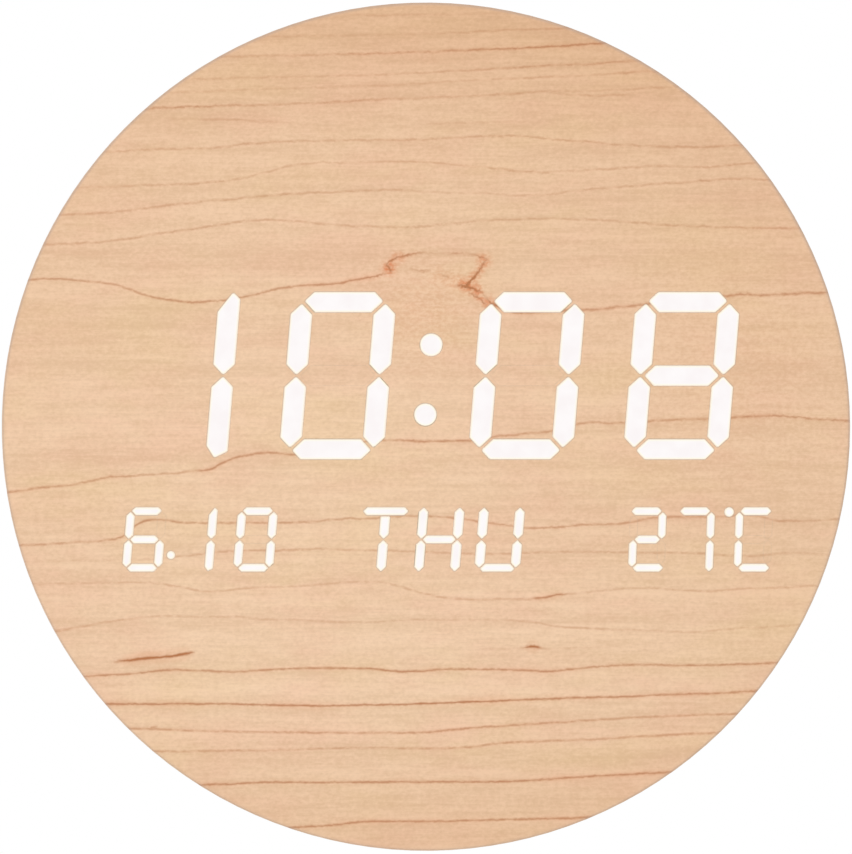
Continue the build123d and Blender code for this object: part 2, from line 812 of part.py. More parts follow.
tab_sectors = wedge(door_tab_radius, door_tab_arc, 0) + wedge(door_tab_radius, door_tab_arc, 180)
notch_middles = (-door_turn, 180 - door_turn)
notch_sectors = Sketch() + [wedge(tab_room_radius, door_notch_arc, middle) for middle in notch_middles]
battery_door = slab(cell_place * Circle(door_radius), door_sink, door_fore)
battery_door = fillet(battery_door.edges().sort_by(Axis.Y)[-1], door_edge_round)
battery_door += slab(cell_place * Circle(door_hub_radius), door_fore, tab_front)
battery_door += slab(cell_place * tab_sectors, tab_rear, tab_front)
coin_slot = SlotOverall(coin_slot_length, coin_slot_width)
battery_door -= slab(cell_place * coin_slot, door_sink, door_sink + coin_slot_depth)

step_radius = cell_diameter / 2 - cell_step
coin_cell = slab(cell_place * Circle(cell_diameter / 2), cell_rear, cell_front - cell_step)
coin_cell += slab(cell_place * Circle(step_radius), cell_front - cell_step, cell_front)
leaf = Rectangle(contact_length, contact_width)
leg = Rectangle(contact_thickness, contact_leg_width)
negative_leg = cell_place * Pos(contact_length / 2 - contact_thickness / 2, 0) * leg
cell_negative_contact = slab(cell_place * leaf, cell_front, cup_seat)
cell_negative_contact += slab(negative_leg, cup_seat, control_rear)
positive_leg = cell_place * Pos(-cell_diameter / 2 - contact_thickness / 2, 0) * leg
cell_positive_contact = slab(positive_leg, cell_rear, control_rear)

# Rear cover
dish_length = 2 * button_pitch + button_length + 2 * dish_margin
dish_height = button_width + 2 * dish_margin
dish_place = Pos(0, button_z)
dish = SlotOverall(dish_length, dish_height)
dish_shell = SlotOverall(dish_length + 2 * dish_wall, dish_height + 2 * dish_wall)
button_opening = SlotOverall(button_length + 2 * button_clearance, button_width + 2 * button_clearance)
vent_points = [(vent_x + (i - (vent_count - 1) / 2) * vent_pitch, vent_z) for i in range(vent_count)]
rear_cover = slab(cover_sketch, 0, cover_thickness)
rear_cover = chamfer(rear_cover.edges().group_by(Axis.Y)[-1], cover_chamfer)
rear_cover += slab(dish_place * dish_shell, 0, dish_back)
rear_cover += slab(cell_place * Circle(tab_room_radius + cup_wall), 0, cell_rear + cup_floor)
rear_cover += slab(cell_place * Circle(cup_radius + cup_wall), 0, cup_front)
rear_cover += slab(at(boss_points, Circle(boss_radius)), cover_thickness, control_rear)
rear_cover -= slab(dish_place * dish, 0, dish_depth)
rear_cover -= slab(at(button_points, button_opening), dish_depth, dish_back)
rear_cover -= slab(cell_place * Circle(door_radius + door_clearance), 0, door_seat)
rear_cover -= slab(cell_place * Circle(hub_room_radius), door_seat, lip_front)
rear_cover -= slab(cell_place * notch_sectors, door_seat, lip_front)
rear_cover -= slab(cell_place * Circle(tab_room_radius), lip_front, cell_rear)
rear_cover -= slab(cell_place * Circle(cup_radius), cell_rear, cup_seat)
rear_cover -= slab(negative_leg + positive_leg, cell_rear, cup_front)
rear_cover -= slab(at(vent_points, Rot(0, 0, 90) * SlotOverall(vent_length, vent_width)), 0, cover_thickness)
rear_cover -= slab(channel_sketch, 0, cover_thickness)
boss_pilots = at(boss_points, Circle(control_screw.radius + screw_clearance))
rear_cover -= slab(boss_pilots, control_front - control_screw.length, control_rear)
for x, z in cover_screw_points:
    rear_cover -= turned(screw_profile(cover_screw, 0, True, head_gap), x, z)

# Hanger and fasteners
hanger_plate = slab(
    Pos(0, hanger_z) * RectangleRounded(hanger_width, hanger_height, hanger_corner), 0, hanger_thickness
)
hanger_plate -= slab(keyhole_sketch, 0, hanger_thickness)
for x, z in hanger_screw_points:
    hanger_plate -= turned(screw_profile(hanger_screw, 0, True, head_gap), x, z)
cover_screws = screws(cover_screw, 0, cover_screw_points, True)
hanger_screws = screws(hanger_screw, 0, hanger_screw_points, True)
board_screws = screws(board_screw, display_rear, board_screw_points, False)
control_screws = screws(control_screw, -control_front, boss_points, False)
control_screws = control_screws.mirror(Plane.XZ)

nodes = {
    "wood_body": wood_body,
    "face_veneer": face_veneer,
    "edge_veneer": edge_veneer,
    "rear_cover": rear_cover,
    "cover_screws": cover_screws,
    "hanger_plate": hanger_plate,
    "hanger_screws": hanger_screws,
    "time_reflector": time_reflector,
    "info_reflector": info_reflector,
    "colon_dots": colon_dots,
    "unlit_segments": unlit_segments,
    "display_board": display_board,
    "display_leds": display_leds,
    "display_board_screws": board_screws,
    "driver_chips": driver_chips,
    "link_header": link_header,
    "link_pins": link_pins,
    "control_board": control_board,
    "control_board_screws": control_screws,
    "controller_chip": controller_chip,
    "clock_crystal": clock_crystal,
    "power_capacitor": power_capacitor,
    "temperature_sensor": temperature_sensor,
    "switch_housings": switch_housings,
    "switch_plates": switch_plates,
    "power_socket": power_socket,
    "socket_pin": socket_pin,
    "coin_cell": coin_cell,
    "cell_positive_contact": cell_positive_contact,
    "cell_negative_contact": cell_negative_contact,
    "battery_door": battery_door,
}
for name, solid in segments.items():
    nodes[f"{name}_segments"] = solid
for name, point in zip(("down", "set", "up"), button_points):
    nodes[f"{name}_button"] = button(point)
    nodes[f"{name}_plunger"] = plunger(point)

os.makedirs("parts", exist_ok=True)
for name, solid in nodes.items():
    export_step(solid, f"parts/{name}.step")
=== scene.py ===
import bmesh
import bpy
import json
from math import cos, pi, radians, sin
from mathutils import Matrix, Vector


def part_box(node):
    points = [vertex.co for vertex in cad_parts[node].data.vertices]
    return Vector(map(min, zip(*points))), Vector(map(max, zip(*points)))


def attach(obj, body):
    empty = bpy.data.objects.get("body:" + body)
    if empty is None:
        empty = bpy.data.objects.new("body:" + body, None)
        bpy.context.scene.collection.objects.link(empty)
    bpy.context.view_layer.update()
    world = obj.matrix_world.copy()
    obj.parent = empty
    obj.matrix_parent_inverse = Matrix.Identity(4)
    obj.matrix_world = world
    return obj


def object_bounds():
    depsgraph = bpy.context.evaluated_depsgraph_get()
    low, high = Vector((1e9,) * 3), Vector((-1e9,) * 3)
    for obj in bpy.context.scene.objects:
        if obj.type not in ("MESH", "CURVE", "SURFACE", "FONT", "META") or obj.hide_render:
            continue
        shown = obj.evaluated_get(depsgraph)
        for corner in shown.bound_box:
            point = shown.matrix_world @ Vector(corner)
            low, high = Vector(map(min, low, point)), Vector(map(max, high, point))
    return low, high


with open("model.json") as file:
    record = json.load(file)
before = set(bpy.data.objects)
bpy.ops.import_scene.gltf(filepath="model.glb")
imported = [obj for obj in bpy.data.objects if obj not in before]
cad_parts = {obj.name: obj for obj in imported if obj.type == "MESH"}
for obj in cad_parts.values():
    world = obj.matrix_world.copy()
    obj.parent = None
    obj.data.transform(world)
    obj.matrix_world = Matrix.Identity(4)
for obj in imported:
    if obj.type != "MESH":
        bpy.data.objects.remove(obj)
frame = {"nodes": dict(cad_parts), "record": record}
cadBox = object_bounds()
nodes = frame["nodes"]
mm = .001
print("frame loaded:", len(nodes), "nodes")


# Node helpers

def shade(hexText):     # a written screen colour as the linear one that sockets take
    channels = [int(hexText[i:i + 2], 16) / 255 for i in (0, 2, 4)]
    return [c / 12.92 if c < .04 else ((c + .055) / 1.055) ** 2.4 for c in channels] + [1]


def feed(tree, socket, value):     # a link or a plain value
    if isinstance(value, bpy.types.NodeSocket):
        tree.links.new(value, socket)
    elif value is not None:
        socket.default_value = value


def put(tree, kind, *values, **settings):     # a node with its settings and first inputs
    node = tree.nodes.new("ShaderNode" + kind)
    for key, value in settings.items():
        setattr(node, key, value)
    for socket, value in zip(node.inputs, values):
        feed(tree, socket, value)
    return node


def calc(tree, operation, *values):
    return put(tree, "Math", *values, operation=operation).outputs[0]


def fall(tree, value, near, far, low=1, high=0):     # smooth change between two values
    node = put(tree, "MapRange", value, near, far, low, high, interpolation_type="SMOOTHSTEP")
    return node.outputs[0]


def noise(tree, place, scale, offset=(0, 0, 0), detail=3, roughness=.5):     # scale in spots per metre
    mapped = put(tree, "Mapping", place, offset, (0, 0, 0), scale).outputs[0]
    node = put(tree, "TexNoise", mapped)
    node.inputs["Scale"].default_value = 1
    node.inputs["Detail"].default_value = detail
    node.inputs["Roughness"].default_value = roughness
    return node.outputs[0]


def blend(tree, factor, under, over, mode="MIX"):
    node = put(tree, "Mix", data_type="RGBA", blend_type=mode)
    feed(tree, node.inputs[0], factor)
    feed(tree, node.inputs[6], under)
    feed(tree, node.inputs[7], over)
    return node.outputs[2]


def wash(tree, under, pattern, near, far, strength, colour):     # a colour where the pattern is strong
    return blend(tree, fall(tree, pattern, near, far, 0, strength), under, shade(colour))


def bump(tree, shader, height, depth, strength):
    node = put(tree, "Bump")
    node.inputs["Strength"].default_value = strength
    node.inputs["Distance"].default_value = depth
    feed(tree, node.inputs["Height"], height)
    feed(tree, shader.inputs["Normal"], node.outputs[0])


def edgeMask(tree, radius, flatTurn=.995, edgeTurn=.8):     # 1 on an edge, 0 on the flats
    soft = put(tree, "Bevel", radius, samples=8).outputs[0]
    flat = put(tree, "NewGeometry").outputs["Normal"]
    meet = put(tree, "VectorMath", soft, flat, operation="DOT_PRODUCT").outputs["Value"]
    return fall(tree, meet, flatTurn, edgeTurn, 0, 1)


def startMaterial(name, roughness=.5, metallic=0, specular=.5):
    mat = bpy.data.materials.new(name)
    mat.use_nodes = True
    shader = mat.node_tree.nodes["Principled BSDF"]
    shader.inputs["Roughness"].default_value = roughness
    shader.inputs["Metallic"].default_value = metallic
    shader.inputs["Specular IOR Level"].default_value = specular
    place = put(mat.node_tree, "TexCoord").outputs["Object"]
    return mat, mat.node_tree, shader, place


# Maple veneer. Its grain is drawn: each line has points (x, y, darkness), where x and y are
# pixels of the photograph and the darkness is the pressure of the pen.

maple = {
    "middle": (425.9, 426.7),     # pixels at the centre of the face
    "pixel": .2946 * mm,     # one pixel on the face
    "span": 256 * mm,     # width and height that a grain curve covers
    "honey": "EBC9A8", "rose": "EAC3A4", "straw": "E9C9A2", "shadow": "CF9C72",
    "line": "B27246", "flush": "DD9468", "stain": "D67A45", "rim": "B8A090", "gapShade": "B8A28F",
    "palest": (1.08, 1.10, 1.125, 1),     # what fibres and flecks do to the ground
    "darkest": (.92, .90, .865, 1),
    "grainMix": {"fibre": .8, "band": .5, "mottle": .4, "fleck": .8},
    "lineHalfWidth": .58 * mm,
    "press": 1.35,     # how the darkness of a line follows the pressure
    "lift": (.006, -8),     # how far past its end a fading line is off the face, and how deep
    "tremble": (.0024, .0052),     # how far a line strays, low and high on the face
    "knot": (438, 278), "knotReach": (14 * mm, 24 * mm),
    "fray": (.0058, .0018),     # how ragged a line is, in the knot and outside it
    "breaks": (.66, .12),     # what the pores take from a weak line and from a strong one
    "flushHalfWidth": 2.4 * mm, "flushStrength": (.10, .26),     # of the warm band beside a line
    "shadows": [     # painted shade, darker towards the top, foot and sides: which way it deepens, from where to where, and how deep at each
        ("up", .36, .90, 0, .22), ("up", .78, 1.04, 0, .34), ("up", .22, 0, 0, .26),
        ("across", .40, .95, .04, .18), ("across", .34, .02, 0, .08),
    ],
    "belt": (.39, .13, .05),     # height, half width and depth of a darker belt
    "gapShadeWidth": .4 * mm, "gapShadeStrength": .9, "gapShadeTurn": (.996, .93),     # painted shade in the gap around each lit guide
    "rimFrom": 1.25 * mm, "rimTo": .35 * mm, "rimStrength": (.16, .46),     # painted edge shade at the rim, low and high
    "roughness": (.40, .56), "fibreDepth": .05 * mm, "fibreBump": .4,
}

veneerPatterns = {     # spots per metre along x, y and z, offset, detail, roughness
    "tremble": ((210, 1, 80), (0, 0, 0), 4, .65),
    "ragged": ((900, 1, 900), (4, 0, 7), 2, .6),
    "pores": ((300, 1, 700), (11, 0, 5), 2, .6),
    "clouds": ((22, 1, 70), (2, 0, 9), 4, .6),
    "pale": ((16, 1, 45), (21, 0, 3), 4, .6),
    "fibre": ((34, 1, 560), (5, 0, 2), 5, .7),
    "band": ((5, 1, 150), (6, 0, 1), 3, .55),
    "mottle": ((150, 1, 270), (3, 0, 6), 3, .6),
    "fleck": ((640, 1, 1000), (8, 0, 8), 3, .65),
}

grainLines = {
    "crownFaint": [(350, 15, 0), (362, 15, .40), (466, 14, .30), (505, 13, 0)],
    "crownUpper": [(262, 37, .20), (290, 36, .40), (340, 35.5, .30), (411, 34, .28), (455, 33, .42),
                   (492, 30.5, .50), (530, 29.5, .50), (567, 28.3, .60), (590, 28, .5)],
    "crownDark": [(218, 57, .40), (270, 56, .42), (330, 54.5, .50), (371, 53.5, .66), (420, 52, .60),
                  (460, 50.5, .70), (511, 48.4, .85), (560, 46, .90), (615, 42, .90)],
    "browUpper": [(180, 79.5, .36), (245, 78, .42), (330, 76, .36), (397, 74, .45), (436, 71.7, .48),
                  (478, 69.8, .52), (524, 66.7, .60), (580, 64.5, .62), (645, 60.5, .62)],
    "browLower": [(165, 93, .36), (210, 91, .36), (330, 87, .28), (397, 85, .36), (443, 82, .40),
                  (500, 79, .42), (538, 77.5, .55), (600, 74.5, .36), (625, 72.5, .60),
                  (665, 70.5, .60)],
    "temple": [(140, 108.5, .66), (190, 107, .74), (234, 105.5, .58), (300, 103.5, .50), (351, 101, .58),
               (420, 98, .46), (443, 97, .46), (511, 94, .56), (545, 91.5, .46), (590, 91, .36),
               (650, 88, .46), (690, 85, .46)],
    "templeBranch": [(548, 93, 0), (570, 94.5, .40), (602, 95.5, .45), (640, 93, .20), (660, 92, 0)],
    "mistLeft": [(165, 118.5, 0), (195, 119.5, .34), (240, 120, .42), (270, 121.5, .36), (300, 123, 0)],
    "mistRight": [(425, 124.5, 0), (445, 123.5, .32), (475, 122, .30), (520, 122, .22), (560, 121, 0)],
    "upperWave": [(100, 152, .44), (150, 149.5, .52), (215, 147.5, .54), (260, 143, .58),
                  (320, 141, .48), (400, 140, .54), (430, 139.5, .44), (470, 137, .52),
                  (524, 136.5, .54), (560, 140, .56), (590, 142, .58), (625, 145, .48), (680, 147, .52),
                  (750, 144, .52)],
    "highWave": [(70, 187, .41), (100, 187, .45), (150, 185, .47), (196, 183.5, .51), (243, 178, .51),
                 (270, 171, .49), (301, 164, .45), (350, 163, .41), (400, 161.5, .47), (430, 162.5, .49),
                 (470, 166, .45), (500, 169, .51), (530, 172, .55), (570, 171, .47), (618, 168.5, .49),
                 (660, 166, .45), (700, 167, .53), (760, 162, .53)],
    "middleWave": [(50, 215, .50), (100, 213, .55), (140, 209, .50), (180, 204, .55), (234, 199, .55),
                   (291, 194, .55), (340, 192, .50), (387, 190, .48), (430, 192, .40), (480, 193, .38),
                   (538, 195, .44), (580, 190, .46), (618, 187, .46), (660, 184, .50), (700, 181, .60),
                   (730, 179, .58), (775, 180, .50)],
    "lowWave": [(40, 245, .46), (85, 243, .48), (110, 241, .54), (150, 235, .58), (200, 228, .58),
                (225, 224, .56), (260, 220, .56), (290, 221, .50), (340, 225, .48), (400, 227, .50),
                (430, 226, .48), (480, 221, .50), (520, 219, .52), (560, 219, .48), (618, 221, .48),
                (650, 224, .54), (720, 227, .50), (770, 228, .60), (805, 228, .60)],
    "knotLeft": [(18, 280.5, .72), (40, 279, .77), (60, 279, .74), (85, 281, .70), (105, 283, .68),
                 (123, 287, .62), (145, 295, .72), (170, 300, .78), (195, 302, .80), (224, 300, .78),
                 (243, 297, .78), (265, 292, .76), (285, 287.5, .78), (310, 285, .84), (335, 284, .87),
                 (352, 280.5, .87), (370, 277.5, .92), (379, 275.5, .87), (383.5, 273.4, .62),
                 (386, 272, 0)],
    "knotLoop": [(383.4, 265.4, 0), (385.2, 264.6, .60), (387.4, 263.2, .95), (392.5, 259.8, 1),
                 (399, 257, .95), (408, 255, .86), (416, 253.7, .78), (421, 252.8, .50),
                 (430, 253.4, .42), (440, 253.4, .30), (450, 253.6, .36), (458, 253.4, .62),
                 (465, 254.2, .52), (475, 255, .64), (481, 257.2, .82), (485.6, 259, .75),
                 (489, 260.4, 0)],
    "knotHook": [(380, 275.4, 0), (384, 274.2, .50), (388, 273, .55), (391, 272.4, .55),
                 (394, 272.6, 0)],
    "knotInner": [(409, 268.4, 0), (414, 269.8, .45), (420, 270.4, .54), (428, 270.2, .58),
                  (432, 270.4, 0)],
    "knotDots": [(440, 274, 0), (445, 276, .52), (449, 277.6, .50), (454, 280.4, 0)],
    "knotTail": [(453, 286.5, 0), (459, 286.2, .60), (465, 286.2, 1.2), (470, 288, 1.15),
                 (476, 290.5, 1), (482, 292.6, .80), (486, 297, .40), (489.5, 302.4, .95),
                 (494, 304.2, 1.05), (499, 306.7, 1), (503, 309.5, .90), (512, 312, .90),
                 (545, 312, .80), (570, 310, .78), (590, 310, .74), (610, 308, .72), (640, 305, .74),
                 (680, 300, .70), (725, 296, .80), (740, 294.5, .82), (765, 295, .74), (790, 294, .76),
                 (832, 292, .80)],
    "knotFeather": [(467, 291, 0), (472, 294.4, .70), (479, 298.4, .85), (484, 302.8, .85),
                    (487, 304, 0)],
    "midline": [(0, 494, .71), (25, 490, .73), (48, 487, .71), (70, 485, .65), (88, 482, .67),
                (105, 478, .71), (135, 476, .67), (163, 474, .59), (195, 471, .65), (212, 469, .85),
                (222, 463, .83), (235, 458, .78), (250, 455, .73), (270, 452.5, .78), (290, 455, .73),
                (330, 449, .63), (365, 441, .63), (390, 440, .69), (420, 441, .79), (446, 441, .79),
                (469, 440.6, .75), (492, 437, .69), (520, 434, .67), (551, 431, .73), (577, 424, .67),
                (618, 423, .63), (675, 420, .67), (705, 419, .63), (734, 417.5, .71), (770, 416, .75),
                (790, 416.5, .75), (815, 419, .73), (850, 421, .73)],
    "infoLine": [(18, 545.5, .68), (57, 543.5, .66), (85, 541.5, .62), (107, 540, .68), (122, 537, .84),
                 (130, 530, .88), (138, 524, .84), (147, 520.6, .84), (163, 520, .80), (182, 522.5, .72),
                 (200, 523, .68), (247, 522.5, .72), (300, 522.5, .68), (330, 520, .64),
                 (350, 518.5, .66), (364, 519, .68), (400, 516.5, .64), (441, 517, .68),
                 (466, 519.5, .70), (487, 523, .72), (508, 526, .74), (530, 528, .72), (560, 527, .74),
                 (580, 525, .68), (610, 524, .68), (632, 522.5, .74), (645, 519, .70), (673, 517, .66),
                 (715, 517, .62), (760, 516, .58), (772, 520, .62), (800, 521, .54), (838, 519, .48)],
    "underInfo": [(45, 561, .22), (110, 560, .30), (150, 559, .34), (184, 556, .46), (215, 552.5, .54),
                  (247, 550.6, .56), (279, 550.5, .56), (320, 549, .48), (350, 550, .46),
                  (388, 550.6, .50), (419, 552, .50), (444, 553, .52), (494, 554, .50), (550, 552, .50),
                  (600, 552, .46), (645, 553, .50), (694, 553, .52), (722, 555, .52), (753, 556, .46),
                  (785, 553, .40), (835, 556, .30)],
    "dottedWave": [(40, 584, .35), (100, 583, .41), (150, 583, .45), (180, 587, .51), (200, 591, .51),
                   (220, 591, .47), (250, 588, .45), (300, 586, .41), (340, 583, .41), (370, 582, .39),
                   (395, 585, .45), (415, 591, .47), (440, 597, .51), (470, 599.5, .51), (500, 599, .47),
                   (530, 599, .59), (546, 597, .95), (560, 594.5, .90), (570, 594, .45), (600, 591, .39),
                   (640, 588, .39), (680, 590, .49), (705, 591.5, .49), (740, 589, .43), (770, 588, .45),
                   (820, 586, .41)],
    "chinWave": [(50, 632.5, .60), (75, 628, .54), (101, 623, .52), (130, 619, .50), (164, 616, .46),
                 (200, 617, .38), (239, 617, .44), (262, 619.5, .42), (300, 620, .36), (340, 622, .40),
                 (380, 622, .38), (410, 620, .38), (450, 620, .34), (500, 620, .36), (532, 622, .48),
                 (555, 626, .50), (580, 628, .52), (602, 629, .48), (640, 630, .38), (690, 632, .40),
                 (730, 629, .40), (770, 627, .38), (810, 624, .38)],
    "streak": [(112, 662.4, 0), (119, 661.4, .75), (130, 660, 1.15), (150, 658, 1.25), (165, 657, 1.20),
               (180, 654.5, 1.25), (191, 652.6, 1), (196, 652, 0)],
    "fleckBed": [(470, 650, 0), (500, 649, .30), (560, 648.5, .34), (600, 647, .20), (640, 646, 0)],
    "fleck": [(518, 649, 0), (526, 647.4, .80), (533, 646.6, 1.2), (540, 647.8, .60), (547, 649, 0)],
    "longUpper": [(80, 676.5, .83), (110, 675, .82), (140, 673, .78), (170, 670, .82), (200, 671, .76),
                  (240, 671.5, .78), (280, 669, .82), (315, 668, .80), (350, 668.5, .82),
                  (375, 669, .86), (390, 671, .90), (415, 671.5, .90), (440, 669.5, .82),
                  (480, 669.5, .80), (520, 670, .82), (550, 671.5, .86), (570, 669.5, .82),
                  (600, 666.5, .78), (640, 665, .78), (680, 665.5, .82), (720, 665, .82),
                  (785, 662.5, .84)],
    "longDark": [(100, 704, .95), (150, 704, .92), (219, 704, .90), (270, 705, .92), (315, 706, .95),
                 (360, 705, .92), (400, 704.5, .95), (430, 703.5, 1), (470, 702, 1), (524, 700, .92),
                 (570, 698, .88), (618, 697, .86), (660, 695, .84), (699, 694, .82), (765, 690.5, .82)],
    "thinUpper": [(122, 729, .67), (150, 729, .69), (206, 731, .63), (260, 732, .61), (302, 732.5, .71),
                  (340, 733, .67), (390, 733, .69), (430, 732, .75), (470, 728, .77), (510, 725.5, .71),
                  (565, 722, .67), (610, 719, .63), (659, 716.5, .65), (700, 715, .67),
                  (745, 713.5, .67)],
    "thinFleck": [(149, 728, 0), (152, 727.4, .80), (155, 726.8, .80), (158, 726, 0)],
    "thinLower": [(145, 751.5, .62), (210, 751, .56), (274, 750, .56), (330, 748.5, .60),
                  (380, 748, .58), (430, 748.5, .60), (470, 747, .66), (503, 743, .70), (550, 741, .62),
                  (600, 739, .62), (650, 736, .66), (725, 732.5, .66)],
    "footDark": [(192, 785.5, .90), (230, 784, .88), (263, 782.5, .86), (320, 782.5, .86),
                 (380, 782, .88), (430, 782, .86), (470, 782, .86), (511, 781.5, .88), (550, 779, .86),
                 (590, 776.5, .86), (618, 775, .86), (680, 772, .86)],
    "footLast": [(280, 828.5, .87), (310, 826.5, .85), (335, 825, .87), (356, 822.5, .85),
                 (400, 821.5, .81), (430, 821.5, .81), (511, 819.5, .81), (560, 818.5, .83),
                 (605, 816.5, .83)],
}

uprightLines = {     # lines that stand up, written from the top down
    "knotSide": [(486.4, 257.5, 0), (485.4, 260, .60), (483, 262.6, .75), (483.2, 265, .80),
                 (480, 269.6, .95), (475.8, 275.6, 1.1), (470, 281.4, 1.3), (466, 286, 1.3),
                 (465, 289, 0)],
    "knotTurn": [(386.6, 261.5, 0), (387.2, 263.6, .80), (388.2, 266, 1), (389.2, 268.4, 1.05),
                 (390.4, 270.6, .95), (391.4, 273, .65), (392, 276, 0)],
}

knotStains = [     # x, y and reach in pixels, strength
    (425, 310, 95, .16), (389, 268, 12, .85), (466, 285, 12, .95), (476, 290, 11, .75),
    (488, 302, 10, .70), (480, 297, 9, .60), (484, 261, 12, .70), (398, 258, 11, .50),
    (455, 281, 14, .30), (440, 276, 14, .20), (480, 270, 8, .50), (474, 277, 9, .60),
    (730, 370, 190, .07),
]


def handCurve(tree, along, pairs, handle="AUTO"):     # a drawn curve as a node
    node = put(tree, "FloatCurve", 1, along)
    node.mapping.use_clip = False
    node.mapping.extend = "HORIZONTAL"
    points = node.mapping.curves[0].points
    points[0].location = pairs[0]
    points[1].location = pairs[-1]
    for pair in pairs[1:-1]:
        points.new(*pair)
    for point in points:
        point.handle_type = handle
    node.mapping.update()
    return node.outputs[0]


def penPressure(drawn):     # darkness along a line, far below nothing past an end that fades out
    pairs = [(a, dark ** maple["press"]) for a, b, dark in drawn]
    away, lifted = maple["lift"]
    first, last = pairs[0], pairs[-1]
    before = [(first[0] - away, lifted)] if first[1] == 0 else []
    after = [(last[0] + away, lifted)] if last[1] == 0 else []
    return before + pairs + after


def grainLine(tree, along, across, drawn):     # pen and flush of a line, falling with the distance from it
    height = handCurve(tree, along, [(a, b) for a, b, dark in drawn])
    dark = handCurve(tree, along, penPressure(drawn), "AUTO_CLAMPED")
    away = calc(tree, "ABSOLUTE", calc(tree, "SUBTRACT", across, height))
    heaviest = max(1, *[point[2] for point in drawn])     # a heavy line is wider too
    steep = -maple["span"] / maple["lineHalfWidth"] / heaviest
    near = put(tree, "Math", away, steep, 1, operation="MULTIPLY_ADD", use_clamp=True).outputs[0]
    pen = calc(tree, "MULTIPLY", dark, near)
    return pen, calc(tree, "MULTIPLY_ADD", away, -maple["span"] / maple["flushHalfWidth"], dark)


